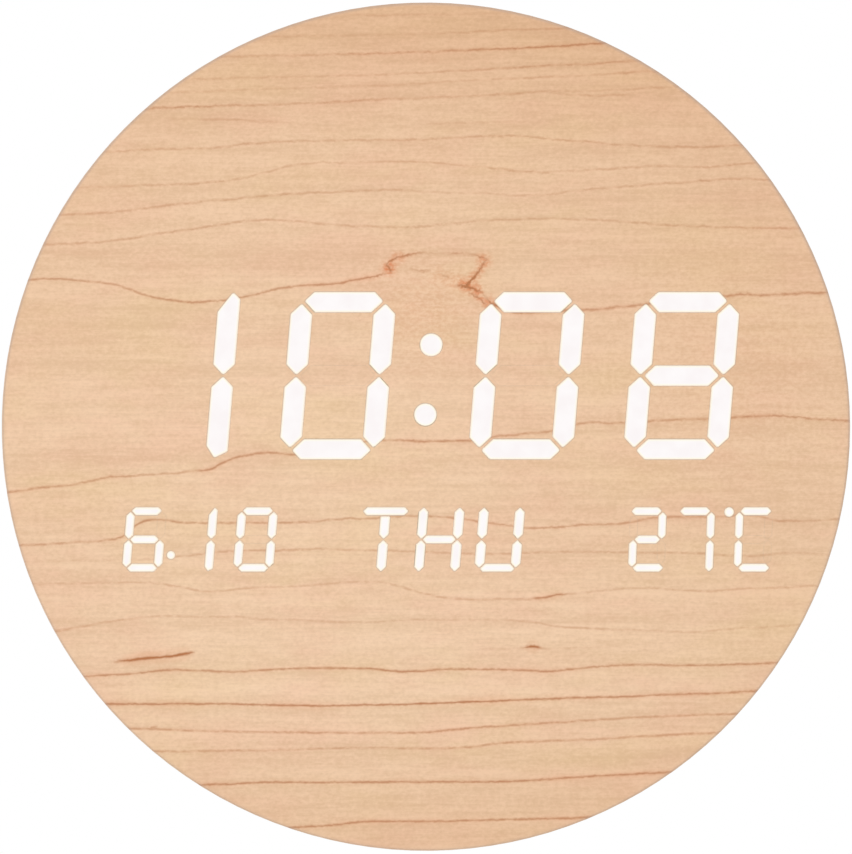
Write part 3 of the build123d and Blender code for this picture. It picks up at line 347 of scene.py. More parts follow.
def mapleVeneer():
    mat, tree, shader, place = startMaterial("maple_veneer", specular=.3)
    pattern = {name: noise(tree, place, *recipe) for name, recipe in veneerPatterns.items()}
    x, y, z = put(tree, "SeparateXYZ", place).outputs
    span = maple["span"]
    across = calc(tree, "MULTIPLY_ADD", x, 1 / span, .5)
    up = calc(tree, "MULTIPLY_ADD", z, 1 / span, .5)

    def framed(px, py):     # a pixel of the photograph on the curves' square
        middle = maple["middle"]
        step = maple["pixel"] / span
        return (px - middle[0]) * step + .5, (middle[1] - py) * step + .5

    def distanceTo(px, py, acrossHere, upHere):     # from a pixel, on that square
        here = put(tree, "CombineXYZ", acrossHere, upHere, 0).outputs[0]
        spot = (*framed(px, py), 0)
        return put(tree, "VectorMath", here, spot, operation="DISTANCE").outputs["Value"]

    # small unsteadiness of every line, stronger in the upper half and ragged at the knot
    stray = fall(tree, up, .22, .62, *maple["tremble"])
    knotReach = [length / span for length in maple["knotReach"]]
    fray = fall(tree, distanceTo(*maple["knot"], across, up), *knotReach, *maple["fray"])
    drift = calc(tree, "MULTIPLY", calc(tree, "SUBTRACT", pattern["tremble"], .5), stray)
    drift = calc(tree, "MULTIPLY_ADD", calc(tree, "SUBTRACT", pattern["ragged"], .5), fray, drift)
    upDrawn = calc(tree, "ADD", up, drift)
    acrossDrawn = calc(tree, "ADD", across, drift)

    drawnLines = []
    for points in grainLines.values():
        drawn = [(*framed(px, py), dark) for px, py, dark in points]
        drawnLines.append(grainLine(tree, across, upDrawn, drawn))
    for points in uprightLines.values():
        drawn = [(*reversed(framed(px, py)), dark) for px, py, dark in reversed(points)]
        drawnLines.append(grainLine(tree, up, acrossDrawn, drawn))
    nearest, flush = drawnLines[0]
    for line, warmBand in drawnLines[1:]:
        nearest = calc(tree, "MAXIMUM", nearest, line)
        flush = calc(tree, "MAXIMUM", flush, warmBand)

    # pores break the weaker lines into dashes
    gaps = fall(tree, nearest, .30, .90, *maple["breaks"])
    gaps = calc(tree, "MULTIPLY", fall(tree, pattern["pores"], .40, .57), gaps)
    pen = calc(tree, "MULTIPLY", calc(tree, "MAXIMUM", nearest, 0), calc(tree, "SUBTRACT", 1, gaps))

    # ground colour in long soft clouds, with painted shade deepening it towards the edges, and a darker
    # belt below the middle
    colour = wash(tree, shade(maple["honey"]), pattern["clouds"], .40, .68, 1, maple["rose"])
    colour = wash(tree, colour, pattern["pale"], .45, .72, .8, maple["straw"])
    beltHeight, beltReach, beltDepth = maple["belt"]
    belt = calc(tree, "ABSOLUTE", calc(tree, "SUBTRACT", up, beltHeight))
    shadeAndBelt = fall(tree, belt, 0, beltReach, beltDepth, 0)
    ways = {"up": up, "across": across}
    for way, *ramp in maple["shadows"]:
        shadeAndBelt = calc(tree, "ADD", shadeAndBelt, fall(tree, ways[way], *ramp))
    colour = blend(tree, shadeAndBelt, colour, shade(maple["shadow"]))

    # fibres, bands, mottle and flecks
    grainy = -sum(maple["grainMix"].values()) / 2
    for name, weight in maple["grainMix"].items():
        grainy = calc(tree, "MULTIPLY_ADD", pattern[name], weight, grainy)
    tint = blend(tree, fall(tree, grainy, -.30, .30, 0, 1), maple["palest"], maple["darkest"])
    colour = blend(tree, 1, colour, tint, "MULTIPLY")

    # drawn grain, with the stains of the knot under its lines
    warm = fall(tree, pattern["clouds"], .35, .65, *maple["flushStrength"])
    warm = calc(tree, "MULTIPLY", fall(tree, flush, .10, 1, 0, 1), warm)
    colour = blend(tree, warm, colour, shade(maple["flush"]))
    speckled = fall(tree, pattern["fleck"], .38, .62, .25, 1)
    for px, py, reach, strength in knotStains:
        away = distanceTo(px, py, acrossDrawn, upDrawn)
        spot = fall(tree, away, 0, reach * maple["pixel"] / span, strength, 0)
        colour = blend(tree, calc(tree, "MULTIPLY", spot, speckled), colour, shade(maple["stain"]))
    colour = blend(tree, pen, colour, shade(maple["line"]))

    # painted shade in the gap around each guide, and painted edge shade at the rim
    gapShade = edgeMask(tree, maple["gapShadeWidth"], *maple["gapShadeTurn"])
    colour = blend(tree, calc(tree, "MULTIPLY", gapShade, maple["gapShadeStrength"]), colour, shade(maple["gapShade"]))
    # painted edge shade: the rim greyed, stronger towards the top
    radius = put(tree, "VectorMath", put(tree, "CombineXYZ", x, 0, z).outputs[0], operation="LENGTH")
    edge = cadBox[1][0]
    wearAndShade = fall(tree, radius.outputs["Value"], edge - maple["rimFrom"], edge - maple["rimTo"], 0, 1)
    wearAndShade = calc(tree, "MULTIPLY", wearAndShade, fall(tree, up, .15, .9, *maple["rimStrength"]))
    colour = blend(tree, wearAndShade, colour, shade(maple["rim"]))

    feed(tree, shader.inputs["Base Color"], colour)
    feed(tree, shader.inputs["Roughness"], fall(tree, grainy, -.3, .3, *maple["roughness"]))
    bump(tree, shader, pattern["fibre"], maple["fibreDepth"], maple["fibreBump"])
    return mat


edgeBand = {     # patterns as for the face, but along the band and across it
    "clouds": ((12, 120, 1), (4, 1, 0), 4, .6),
    "fibre": ((36, 900, 1), (7, 3, 0), 4, .65),
    "drift": ((2.4, 110, 1), (1, 9, 0), 1, .4),
    "lines": ((.38, .35), (.47, .50), (.56, .65), (.65, .40)),     # where the drift shows a line, how dark
    "lineWidth": .012, "bandShadeWidth": .5 * mm, "bandShadeStrength": .5,
}


def rimVeneer():     # the band around the edge, its grain running round the disc
    mat, tree, shader, place = startMaterial("rim_veneer", specular=.3)
    x, y, z = put(tree, "SeparateXYZ", place).outputs
    turn = calc(tree, "ARCTAN2", x, z)     # the joint lies at the foot, by the cable channel
    along = calc(tree, "MULTIPLY", turn, cadBox[1][0])
    unrolled = put(tree, "CombineXYZ", along, y, 0).outputs[0]
    clouds = noise(tree, unrolled, *edgeBand["clouds"])
    fibre = noise(tree, unrolled, *edgeBand["fibre"])
    drift = noise(tree, unrolled, *edgeBand["drift"])
    colour = wash(tree, shade(maple["honey"]), clouds, .38, .66, 1, maple["straw"])
    tint = blend(tree, fall(tree, fibre, .25, .75, 0, 1), maple["palest"], maple["darkest"])
    colour = blend(tree, 1, colour, tint, "MULTIPLY")
    for level, strength in edgeBand["lines"]:
        away = calc(tree, "ABSOLUTE", calc(tree, "SUBTRACT", drift, level))
        line = fall(tree, away, edgeBand["lineWidth"], 0, 0, strength)
        faded = calc(tree, "MULTIPLY", line, fall(tree, fibre, .3, .6))
        colour = blend(tree, faded, colour, shade(maple["line"]))
    # painted edge shade along the band's edges, in the grey of the face's rim
    wearAndShade = calc(tree, "MULTIPLY", edgeMask(tree, edgeBand["bandShadeWidth"]), edgeBand["bandShadeStrength"])
    colour = blend(tree, wearAndShade, colour, shade(maple["rim"]))
    feed(tree, shader.inputs["Base Color"], colour)
    feed(tree, shader.inputs["Roughness"], fall(tree, fibre, .3, .7, *maple["roughness"]))
    bump(tree, shader, fibre, maple["fibreDepth"], maple["fibreBump"])
    return mat


finishes = {"maple_veneer": mapleVeneer()}     # one material for each slot of the record
rimBand = rimVeneer()
print("veneer drawn:", len(grainLines) + len(uprightLines), "lines")


# Lit guides

glow = {
    "white": "FDF9F9", "dim": "FAF4F4", "cream": "FFFCEC", "edge": "F4DCC0", "resin": "2A2A2A",
    "strength": .97,
    "haze": ((160, 1, 160), (0, 0, 0), 2), "hazeDepth": .02 * mm,
    "creamWidth": 1.4 * mm, "creamTurn": (.9995, .95),     # a pale band inside each outline
    "edgeWidth": .75 * mm, "edgeStrength": .95,     # and a deeper one at the outline
}


def litResin():
    mat, tree, shader, place = startMaterial("lit_guide_resin", .35, specular=.2)
    shader.inputs["Base Color"].default_value = shade(glow["resin"])
    shader.inputs["Emission Strength"].default_value = glow["strength"]
    haze = noise(tree, place, *glow["haze"])
    light = wash(tree, shade(glow["white"]), haze, .3, .7, 1, glow["dim"])
    inside = edgeMask(tree, glow["creamWidth"], *glow["creamTurn"])
    light = blend(tree, inside, light, shade(glow["cream"]))
    sides = calc(tree, "MULTIPLY", edgeMask(tree, glow["edgeWidth"]), glow["edgeStrength"])
    feed(tree, shader.inputs["Emission Color"], blend(tree, sides, light, shade(glow["edge"])))
    bump(tree, shader, haze, glow["hazeDepth"], .3)
    return mat


finishes["lit_guide_resin"] = litResin()


# Moulded plastics: colour, worn edge, roughness, size and depth of the moulded grain

plastics = {
    "cover_plastic": ("1B1B1D", "3A3A3D", .60, .55 * mm, .070 * mm),
    "door_plastic": ("1E1E20", "454548", .52, .45 * mm, .055 * mm),
    "button_plastic": ("333337", "5C5C61", .44, .40 * mm, .035 * mm),
    "plunger_plastic": ("474746", "6A6A68", .45, .30 * mm, .008 * mm),
    "header_plastic": ("202021", "3C3C3D", .50, .30 * mm, .010 * mm),
    "switch_plastic": ("242425", "434344", .50, .30 * mm, .010 * mm),
    "socket_plastic": ("1F1F20", "404042", .48, .30 * mm, .012 * mm),
    "chip_epoxy": ("1C1C1D", "383838", .58, .18 * mm, .010 * mm),
    "reflector_plastic": ("ECECE9", "F7F7F5", .42, .50 * mm, .010 * mm),
    "dark_guide_resin": ("E3E3DD", "F1F1EC", .24, .70 * mm, .006 * mm),
}

plasticWear = {
    "flow": ((55, 55, 38), (3, 1, 7), 4, .55), "flowStrength": .16,
    "dust": ((480, 480, 480), (9, 4, 2), 2, .7), "dustStrength": (.15, .95),
    "grainStrength": .40, "grainBump": .8, "edgeWidth": .35 * mm,
    "smoother": .07, "rougher": .09,     # either side of the written roughness
}


def mouldedPlastic(slot, colour, wornColour, roughness, grainSize, grainDepth):
    mat, tree, shader, place = startMaterial(slot, roughness, specular=.45)
    size = 1 / grainSize
    grain = noise(tree, place, (size, size, size), roughness=.6)
    flow = noise(tree, place, *plasticWear["flow"])
    dust = noise(tree, place, *plasticWear["dust"])
    tone = wash(tree, shade(colour), flow, .30, .70, plasticWear["flowStrength"], wornColour)
    tone = wash(tree, tone, grain, .48, .72, plasticWear["grainStrength"], wornColour)
    dusty = fall(tree, dust, .35, .65, *plasticWear["dustStrength"])
    edges = calc(tree, "MULTIPLY", edgeMask(tree, plasticWear["edgeWidth"]), dusty)
    tone = blend(tree, edges, tone, shade(wornColour))
    smooth, rough = roughness - plasticWear["smoother"], roughness + plasticWear["rougher"]
    feed(tree, shader.inputs["Base Color"], tone)
    feed(tree, shader.inputs["Roughness"], fall(tree, grain, .3, .7, smooth, rough))
    bump(tree, shader, grain, grainDepth, plasticWear["grainBump"])
    return mat


for slot, recipe in plastics.items():
    finishes[slot] = mouldedPlastic(slot, *recipe)


# Plated and drawn metals: colour, tarnish, roughness, then brush marks per metre along x, y and z

metals = {
    "screw_steel": ("BDBDB6", "8C8A80", .34, (900, 900, 900)),
    "hanger_steel": ("C6C6C1", "97958C", .36, (60, 900, 1900)),
    "switch_steel": ("C4C4BF", "98968D", .33, (120, 900, 2400)),
    "cell_steel": ("CDCDCB", "A5A49F", .26, (90, 900, 2100)),
    "contact_steel": ("C7C5BE", "9A978C", .30, (150, 900, 2400)),
    "crystal_can": ("C9C9C6", "A09E98", .28, (2400, 900, 150)),
    "capacitor_can": ("CBCCCE", "A3A4A6", .38, (1600, 160, 1600)),
    "pin_brass": ("D2AE5C", "9C7B35", .30, (1800, 200, 1800)),
}

metalWearAndShade = {
    "bloom": ((140, 140, 140), (5, 2, 8), 4, .6), "bloomStrength": .55, "brushStrength": .45,
    "rubbedSteel": "E4E4E0", "rubbedBrass": "EBD08A", "rubbedWidth": .25 * mm, "rubbedStrength": .6,
    "grime": "4E4B43", "grimeReach": .9 * mm, "grimeStrength": .75,
    "smoother": .08, "rougher": .12, "brushDepth": .012 * mm,
}


def platedMetal(slot, colour, tarnish, roughness, brush):
    mat, tree, shader, place = startMaterial(slot, roughness, metallic=1)
    marks = noise(tree, place, brush, detail=4, roughness=.65)
    bloom = noise(tree, place, *metalWearAndShade["bloom"])
    tone = wash(tree, shade(colour), bloom, .42, .74, metalWearAndShade["bloomStrength"], tarnish)
    tone = wash(tree, tone, marks, .50, .80, metalWearAndShade["brushStrength"], tarnish)
    rubbed = calc(tree, "MULTIPLY", edgeMask(tree, metalWearAndShade["rubbedWidth"]), metalWearAndShade["rubbedStrength"])
    bright = metalWearAndShade["rubbedBrass" if slot == "pin_brass" else "rubbedSteel"]
    tone = blend(tree, rubbed, tone, shade(bright))
    nook = put(tree, "AmbientOcclusion", samples=8)     # painted shade in the recesses
    nook.inputs["Distance"].default_value = metalWearAndShade["grimeReach"]
    recessShade = fall(tree, nook.outputs["AO"], .55, .92, metalWearAndShade["grimeStrength"], 0)
    tone = blend(tree, recessShade, tone, shade(metalWearAndShade["grime"]))
    smooth, rough = roughness - metalWearAndShade["smoother"], roughness + metalWearAndShade["rougher"]
    feed(tree, shader.inputs["Base Color"], tone)
    feed(tree, shader.inputs["Roughness"], fall(tree, marks, .25, .75, smooth, rough))
    bump(tree, shader, marks, metalWearAndShade["brushDepth"], .5)
    return mat


for slot, recipe in metals.items():
    finishes[slot] = platedMetal(slot, *recipe)


# Raw fibreboard behind the veneer

boardWood = {
    "fibre": "B9946B", "dark": "94704B", "pale": "D3B48C", "burnt": "7A5837",
    "clumps": ((620, 620, 620), (0, 0, 0), 4, .75),
    "specks": ((1900, 2600, 1900), (4, 4, 4), 3, .7), "speckDepth": .06 * mm,
    "layers": ((9, 420, 9), (1, 6, 2), 3, .6),
    "routedWidth": .8 * mm, "routedStrength": (.30, .75),
}


def fibreboard():
    mat, tree, shader, place = startMaterial("fibreboard", .82, specular=.15)
    clumps = noise(tree, place, *boardWood["clumps"])
    specks = noise(tree, place, *boardWood["specks"])
    layers = noise(tree, place, *boardWood["layers"])
    tone = wash(tree, shade(boardWood["fibre"]), clumps, .35, .65, .45, boardWood["pale"])
    tone = wash(tree, tone, specks, .52, .72, .55, boardWood["dark"])
    tone = wash(tree, tone, layers, .50, .75, .35, boardWood["dark"])
    burnt = fall(tree, clumps, .3, .7, *boardWood["routedStrength"])
    routed = calc(tree, "MULTIPLY", edgeMask(tree, boardWood["routedWidth"]), burnt)
    tone = blend(tree, routed, tone, shade(boardWood["burnt"]))
    feed(tree, shader.inputs["Base Color"], tone)
    bump(tree, shader, specks, boardWood["speckDepth"], .6)
    return mat


finishes["fibreboard"] = fibreboard()


# Circuit boards and what is soldered to them

circuit = {
    "mask": "14592F", "maskDeep": "0E4524", "trace": "2C7A48", "solder": "A9AA9F",
    "mottle": ((120, 120, 120), (0, 0, 0), 3, .6), "maskRoughness": (.32, .46),
    "traceSizes": (38, 95),     # tracks per metre, coarse and fine
    "traceWidth": .022, "traceSoftness": .2, "traceStrength": .75,
    "viasPerMetre": 210, "viaEdge": (.075, .055), "viaStrength": .8,
    "printDepth": .02 * mm,
}


def boardLaminate():
    mat, tree, shader, place = startMaterial("board_laminate", .38)
    x, y, z = put(tree, "SeparateXYZ", place).outputs
    flat = put(tree, "CombineXYZ", x, z, 0).outputs[0]
    mottle = noise(tree, place, *circuit["mottle"])
    tone = wash(tree, shade(circuit["mask"]), mottle, .35, .65, 1, circuit["maskDeep"])
    for tracks in circuit["traceSizes"]:
        bricks = put(tree, "TexBrick", flat, offset=.37, offset_frequency=3, squash=1.7, squash_frequency=2)
        bricks.inputs["Scale"].default_value = tracks
        bricks.inputs["Mortar Size"].default_value = circuit["traceWidth"]
        bricks.inputs["Mortar Smooth"].default_value = circuit["traceSoftness"]
        traces = calc(tree, "MULTIPLY", bricks.outputs["Fac"], circuit["traceStrength"])
        tone = blend(tree, traces, tone, shade(circuit["trace"]))
    spots = put(tree, "TexVoronoi", flat, voronoi_dimensions="2D")
    spots.inputs["Scale"].default_value = circuit["viasPerMetre"]
    vias = fall(tree, spots.outputs["Distance"], *circuit["viaEdge"], 0, circuit["viaStrength"])
    tone = blend(tree, vias, tone, shade(circuit["solder"]))
    feed(tree, shader.inputs["Base Color"], tone)
    feed(tree, shader.inputs["Metallic"], calc(tree, "MULTIPLY", vias, .8))
    feed(tree, shader.inputs["Roughness"], fall(tree, mottle, .3, .7, *circuit["maskRoughness"]))
    bump(tree, shader, tone, circuit["printDepth"], .4)
    return mat


lamp = {
    "body": ("E6E5DD", "F4F3EE"), "phosphor": ("EFD777", "F6E6A4"), "phosphorDepth": .12 * mm,
    "grain": ((2200, 2200, 2200), (0, 0, 0), 3, .6), "grainDepth": .01 * mm,
}


def lampResin():     # yellow phosphor in the face of a white lamp body
    mat, tree, shader, place = startMaterial("lamp_resin", .3)
    x, y, z = put(tree, "SeparateXYZ", place).outputs
    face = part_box("display_leds")[0][1]
    grain = noise(tree, place, *lamp["grain"])
    body = blend(tree, grain, *[shade(tone) for tone in lamp["body"]])
    phosphor = blend(tree, grain, *[shade(tone) for tone in lamp["phosphor"]])
    isFace = fall(tree, y, face + lamp["phosphorDepth"], face, 0, 1)
    feed(tree, shader.inputs["Base Color"], blend(tree, isFace, body, phosphor))
    bump(tree, shader, grain, lamp["grainDepth"], .4)
    return mat


sensor = {
    "bead": ("231D18", "3C332A"), "leg": ("BDBDB8", "D3D3CF"), "legLength": 2.6 * mm, "meniscus": .2 * mm,
    "runs": ((700, 260, 700), (0, 0, 0), 3, .6), "runDepth": .03 * mm,
}


def sensorEpoxy():     # a dipped bead on two tinned legs
    mat, tree, shader, place = startMaterial("sensor_epoxy", .25, specular=.6)
    x, y, z = put(tree, "SeparateXYZ", place).outputs
    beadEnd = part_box("temperature_sensor")[1][1] - sensor["legLength"]
    runs = noise(tree, place, *sensor["runs"])
    bead = blend(tree, runs, *[shade(tone) for tone in sensor["bead"]])
    leg = blend(tree, runs, *[shade(tone) for tone in sensor["leg"]])
    isLeg = fall(tree, y, beadEnd, beadEnd - sensor["meniscus"], 0, 1)
    feed(tree, shader.inputs["Base Color"], blend(tree, isLeg, bead, leg))
    feed(tree, shader.inputs["Metallic"], isLeg)
    bump(tree, shader, runs, sensor["runDepth"], .5)
    return mat


finishes["board_laminate"] = boardLaminate()
finishes["lamp_resin"] = lampResin()
finishes["sensor_epoxy"] = sensorEpoxy()

for part in frame["record"]["subparts"]:
    nodes[part["node"]].material_slots[0].material = finishes[part["material_slot"]]
nodes["edge_veneer"].material_slots[0].material = rimBand
print("finishes:", len(finishes) + 1)


# Raised marks on the back

def startPiece():
    bpy.ops.object.select_all(action="DESELECT")


def settle():     # place, turn and size go into the mesh
    bpy.ops.object.transform_apply(location=True, rotation=True, scale=True)


def editAll():
    bpy.ops.object.mode_set(mode="EDIT")
    bpy.ops.mesh.select_all(action="SELECT")


def flatOutline(corners, radius, location, turn=0):     # a filled outline that looks back, open for editing
    bpy.ops.mesh.primitive_circle_add(vertices=corners, radius=radius, fill_type="NGON",
                                      location=location, rotation=(radians(90), turn, 0))
    settle()
    editAll()


def pickFaces(test):     # faces chosen by their centre and normal, in edit mode
    bpy.ops.mesh.select_all(action="DESELECT")
    mesh = bmesh.from_edit_mesh(bpy.context.object.data)
    for face in mesh.faces:
        face.select = test(face.calc_center_median(), face.normal)
    bmesh.update_edit_mesh(bpy.context.object.data)


def rise(height):     # the flat shape gets its thickness, out of the back
    bpy.ops.mesh.extrude_region_move(TRANSFORM_OT_translate={"value": (0, height, 0)})
    bpy.ops.mesh.select_all(action="SELECT")
    bpy.ops.mesh.normals_make_consistent(inside=False)


def softenTop(width):     # the upper edge, rounded over
    pickFaces(lambda centre, normal: normal.y > .9)
    bpy.ops.mesh.bevel(offset=width, segments=3, affect="EDGES")
    bpy.ops.object.mode_set(mode="OBJECT")


def closeSkin(weld):     # one closed skin that faces outwards
    bpy.ops.mesh.select_all(action="SELECT")
    bpy.ops.mesh.remove_doubles(threshold=weld)
    bpy.ops.mesh.normals_make_consistent(inside=False)
    bpy.ops.object.mode_set(mode="OBJECT")


def finishPiece(name, body, mat):
    piece = bpy.context.object
    settle()
    bpy.ops.object.shade_smooth_by_angle(angle=radians(35))
    piece.name = name
    piece.data.name = name
    piece.data.materials.clear()
    piece.data.materials.append(mat)
    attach(piece, body)


def backMiddle(node, sunk):     # middle of a node's outer face, a little under it
    low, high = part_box(node)
    return (low[0] + high[0]) / 2, high[1] - sunk, (low[2] + high[2]) / 2


buttonMark = {
    "reach": 1.75 * mm, "corner": .35 * mm, "ring": 1.35 * mm, "ringWidth": .5 * mm, "ringSteps": 56,
    "proud": .22 * mm, "sunk": .06 * mm, "edge": .08 * mm, "weld": .002 * mm,
    "colour": ("C9C9CC", "E4E4E6", .42, .30 * mm, .010 * mm),
}
markPlastic = mouldedPlastic("button_mark", *buttonMark["colour"])


def raisedArrow(name, node, body, turn):
    startPiece()
    flatOutline(3, buttonMark["reach"], backMiddle(node, buttonMark["sunk"]), radians(turn))
    bpy.ops.mesh.bevel(offset=buttonMark["corner"], segments=4, affect="VERTICES")
    bpy.ops.mesh.select_all(action="SELECT")
    rise(buttonMark["sunk"] + buttonMark["proud"])
    softenTop(buttonMark["edge"])
    finishPiece(name, body, markPlastic)


def raisedRing(name, node, body):
    startPiece()
    x, y, z = backMiddle(node, buttonMark["sunk"])
    height = buttonMark["sunk"] + buttonMark["proud"]
    bpy.ops.mesh.primitive_plane_add(size=1, location=(x + buttonMark["ring"], y + height / 2, z))
    bpy.context.object.scale = (buttonMark["ringWidth"], height, 1)
    settle()
    editAll()
    bpy.ops.mesh.bevel(offset=buttonMark["edge"], segments=3, affect="VERTICES")
    bpy.ops.mesh.select_all(action="SELECT")
    bpy.ops.mesh.delete(type="ONLY_FACE")
    bpy.ops.mesh.select_all(action="SELECT")
    bpy.ops.mesh.spin(steps=buttonMark["ringSteps"], angle=2 * pi, center=(x, y, z), axis=(0, 1, 0))
    closeSkin(buttonMark["weld"])
    finishPiece(name, body, markPlastic)


raisedArrow("up_arrow", "up_button", "up_button_body", 0)
raisedArrow("down_arrow", "down_button", "down_button_body", 180)
raisedRing("set_ring", "set_button", "set_button_body")
print("button marks raised")


# Plus sign, turning arrow and dot on the battery door, and the two dots beside it

doorMark = {
    "arm": 1.9 * mm, "width": .9 * mm, "plusRise": 6.2 * mm,
    "arrowRadius": 9.6 * mm, "arrowWidth": .7 * mm, "arrowFrom": 305, "arrowSweep": 62, "arrowSteps": 24,
    "headReach": 1.3 * mm, "headRise": .03 * mm,
    "dot": .6 * mm, "indexRise": 11.6 * mm, "dotReach": 16.4 * mm,
    "proud": .13 * mm, "wallProud": .03 * mm,     # on the door, and where the cover meets the wall
    "sunk": .06 * mm, "edge": .05 * mm, "weld": .002 * mm,
}
doorX, doorY, doorZ = backMiddle("battery_door", doorMark["sunk"])
doorHeight = doorMark["sunk"] + doorMark["proud"]


def doorPlus():
    startPiece()
    width = doorMark["width"]
    z = doorZ + doorMark["plusRise"]
    bpy.ops.mesh.primitive_plane_add(size=width, location=(doorX, doorY, z), rotation=(radians(90), 0, 0))
    settle()
    editAll()
    for stepX, stepZ in ((1, 0), (0, 1), (-1, 0), (0, -1)):     # an arm from each side of the square
        bpy.ops.mesh.select_mode(type="EDGE")
        bpy.ops.mesh.select_all(action="DESELECT")
        mesh = bmesh.from_edit_mesh(bpy.context.object.data)
        for edge in mesh.edges:
            spot = (edge.verts[0].co + edge.verts[1].co) / 2
            reach = (spot.x - doorX) * stepX + (spot.z - z) * stepZ
            aside = (spot.x - doorX) * stepZ + (spot.z - z) * stepX
            edge.select = abs(reach - width / 2) + abs(aside) < .01 * mm
        bmesh.update_edit_mesh(bpy.context.object.data)
        step = doorMark["arm"] - width / 2
        bpy.ops.mesh.extrude_region_move(TRANSFORM_OT_translate={"value": (stepX * step, 0, stepZ * step)})
    bpy.ops.mesh.select_mode(type="FACE")
    bpy.ops.mesh.select_all(action="SELECT")
    rise(doorHeight)
    softenTop(doorMark["edge"])
    finishPiece("door_plus", "battery_door_body", markPlastic)


def doorArrow():
    startPiece()
    radius = doorMark["arrowRadius"]
    begin = radians(doorMark["arrowFrom"])
    sweep = radians(doorMark["arrowSweep"])
    start = (doorX + radius * cos(begin), doorY + doorHeight / 2, doorZ + radius * sin(begin))
    bpy.ops.mesh.primitive_plane_add(size=1, location=start, rotation=(0, -begin, 0))
    shaft = bpy.context.object
    shaft.scale = (doorMark["arrowWidth"], doorHeight, 1)
    settle()
    editAll()
    middle = (doorX, doorY, doorZ)
    bpy.ops.mesh.spin(steps=doorMark["arrowSteps"], angle=sweep, center=middle, axis=(0, -1, 0))
    closeSkin(doorMark["weld"])
    last = begin - sweep     # turned the way the door opens
    point = (doorX + radius * cos(last), doorY, doorZ + radius * sin(last))
    startPiece()
    flatOutline(3, doorMark["headReach"], point, pi - last)
    head = bpy.context.object
    rise(doorHeight + doorMark["headRise"])
    softenTop(doorMark["edge"])
    shaft.select_set(True)
    head.select_set(True)
    bpy.context.view_layer.objects.active = shaft
    bpy.ops.object.join()
    finishPiece("door_turn_arrow", "battery_door_body", markPlastic)


def raisedDot(name, body, x, z, face, proud):     # a flattened button of a dot
    startPiece()
    flatOutline(32, doorMark["dot"], (x, face - doorMark["sunk"], z))
    rise(doorMark["sunk"] + proud)
    softenTop(proud / 3)
    finishPiece(name, body, markPlastic)


doorPlus()
doorArrow()
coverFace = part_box("rear_cover")[1][1]
raisedDot("door_index", "battery_door_body", doorX, doorZ + doorMark["indexRise"],
          doorY + doorMark["sunk"], doorMark["proud"])
for name, angle in (("closed_dot", 90), ("open_dot", 30)):     # for the door's dot, shut and open
    reach = doorMark["dotReach"]
    raisedDot(name, "clock", doorX + reach * cos(radians(angle)),
              doorZ + reach * sin(radians(angle)), coverFace, doorMark["wallProud"])
print("door marks raised")


# Printed words on the rear cover

printing = {
    "size": 3.4 * mm, "rise": 7.2 * mm, "ink": .02 * mm, "inkColour": "C4C4C6", "inkWorn": "8E8E92",
    "wearAndShade": ((1300, 1300, 1300), (0, 0, 0), 3, .7), "wornDepth": .01 * mm,
    "patches": ((210, 210, 210), (2, 5, 1), 3, .6),
    "roundness": 6, "weld": .001 * mm,
}


def printInk():
    mat, tree, shader, place = startMaterial("pad_print", .55, specular=.3)
    wearAndShade = noise(tree, place, *printing["wearAndShade"])
    patches = noise(tree, place, *printing["patches"])
    tone = wash(tree, shade(printing["inkColour"]), wearAndShade, .50, .75, .8, printing["inkWorn"])
    tone = wash(tree, tone, patches, .55, .75, .5, printing["inkWorn"])
    feed(tree, shader.inputs["Base Color"], tone)
    bump(tree, shader, wearAndShade, printing["wornDepth"], .4)
    return mat


ink = printInk()


def printedWord(name, word, x, z):     # read from behind
    startPiece()
    bpy.ops.object.text_add(location=(x, coverFace, z), rotation=(radians(90), 0, radians(180)))
    text = bpy.context.object
    text.data.body = word
    text.data.size = printing["size"]
    text.data.align_x = "CENTER"
    text.data.align_y = "CENTER"
    text.data.extrude = printing["ink"]
    text.data.resolution_u = printing["roundness"]
    bpy.ops.object.convert(target="MESH")
    settle()
    editAll()
    closeSkin(printing["weld"])
    finishPiece(name, "clock", ink)


for key in ("down", "set", "up"):
    low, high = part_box(key + "_button")
    printedWord("word_" + key, key.upper(), (low[0] + high[0]) / 2, high[2] + printing["rise"])
print("words printed")


# Camera, light and floor

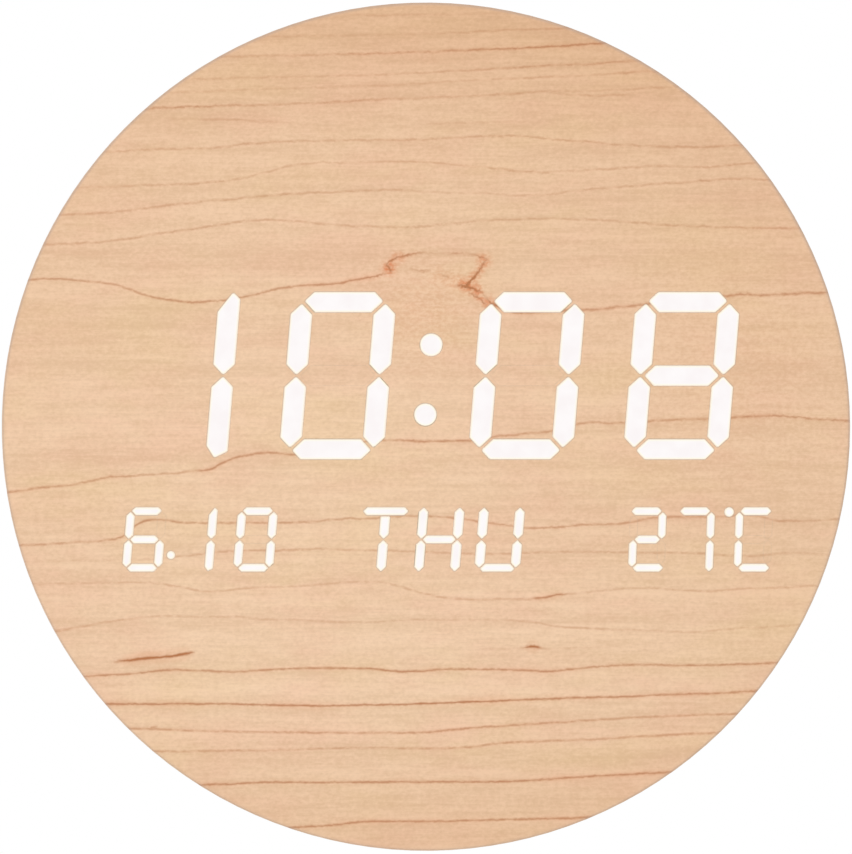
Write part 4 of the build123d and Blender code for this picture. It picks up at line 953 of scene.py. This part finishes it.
studio = {
    "lens": 150, "sensor": 36, "imageLong": 854, "faceRadiusPixels": 424.3,
    "discMiddle": (425.93, 426.66), "imageMiddle": (426, 427),
    "ambient": .75, "lampSize": 1.4,
    "lamps": {     # place, turn in degrees, power
        "key": ((-.5, -1.6, .9), (62, 0, -17), 11),
        "back": ((.5, 1.6, .9), (62, 0, 163), 11),
    },
    "floorDrop": .30, "floorRadius": 1.2, "floorPaint": ("EEEEEC", "F4F4F3"),
}


def setCamera():
    low, high = cadBox
    radius = high[0]
    perPixel = radius / studio["faceRadiusPixels"]
    distance = perPixel * studio["lens"] * studio["imageLong"] / studio["sensor"]
    right = (studio["imageMiddle"][0] - studio["discMiddle"][0]) * perPixel
    down = (studio["imageMiddle"][1] - studio["discMiddle"][1]) * perPixel
    bpy.ops.object.select_all(action="DESELECT")
    bpy.ops.object.camera_add(location=(right, low[1] - distance, -down), rotation=(radians(90), 0, 0))
    camera = bpy.context.object
    camera.data.lens = studio["lens"]
    camera.data.sensor_width = studio["sensor"]
    bpy.context.scene.camera = camera


def setWorld():
    world = bpy.data.worlds.new("studio")
    bpy.context.scene.world = world
    world.use_nodes = True
    tree = world.node_tree
    path = put(tree, "LightPath").outputs
    seen = calc(tree, "MAXIMUM", path["Is Camera Ray"], path["Is Glossy Ray"])
    seen = calc(tree, "MAXIMUM", seen, path["Is Transmission Ray"])
    ground = tree.nodes["Background"]
    ground.inputs["Color"].default_value = (1, 1, 1, 1)
    feed(tree, ground.inputs["Strength"], fall(tree, seen, 0, 1, studio["ambient"], 1))


def softLight(name, location, turn, power):
    rotation = [radians(angle) for angle in turn]
    bpy.ops.object.light_add(type="AREA", location=location, rotation=rotation)
    light = bpy.context.object
    light.name = name
    light.data.size = studio["lampSize"]
    light.data.energy = power
    light.visible_camera = False


def setFloor():
    bpy.ops.mesh.primitive_circle_add(vertices=96, radius=studio["floorRadius"], fill_type="NGON",
                                      location=(0, 0, -studio["floorDrop"]))
    floor = bpy.context.object
    floor.name = "floor"
    mat, tree, shader, place = startMaterial("floor_paint", .8, specular=.2)
    grain = noise(tree, place, (40, 40, 40))
    paint = blend(tree, grain, *[shade(tone) for tone in studio["floorPaint"]])
    feed(tree, shader.inputs["Base Color"], paint)
    floor.data.materials.append(mat)


setCamera()
setWorld()
for name, setting in studio["lamps"].items():
    softLight(name, *setting)
setFloor()
bpy.context.scene.view_settings.view_transform = "Standard"
print("studio set")
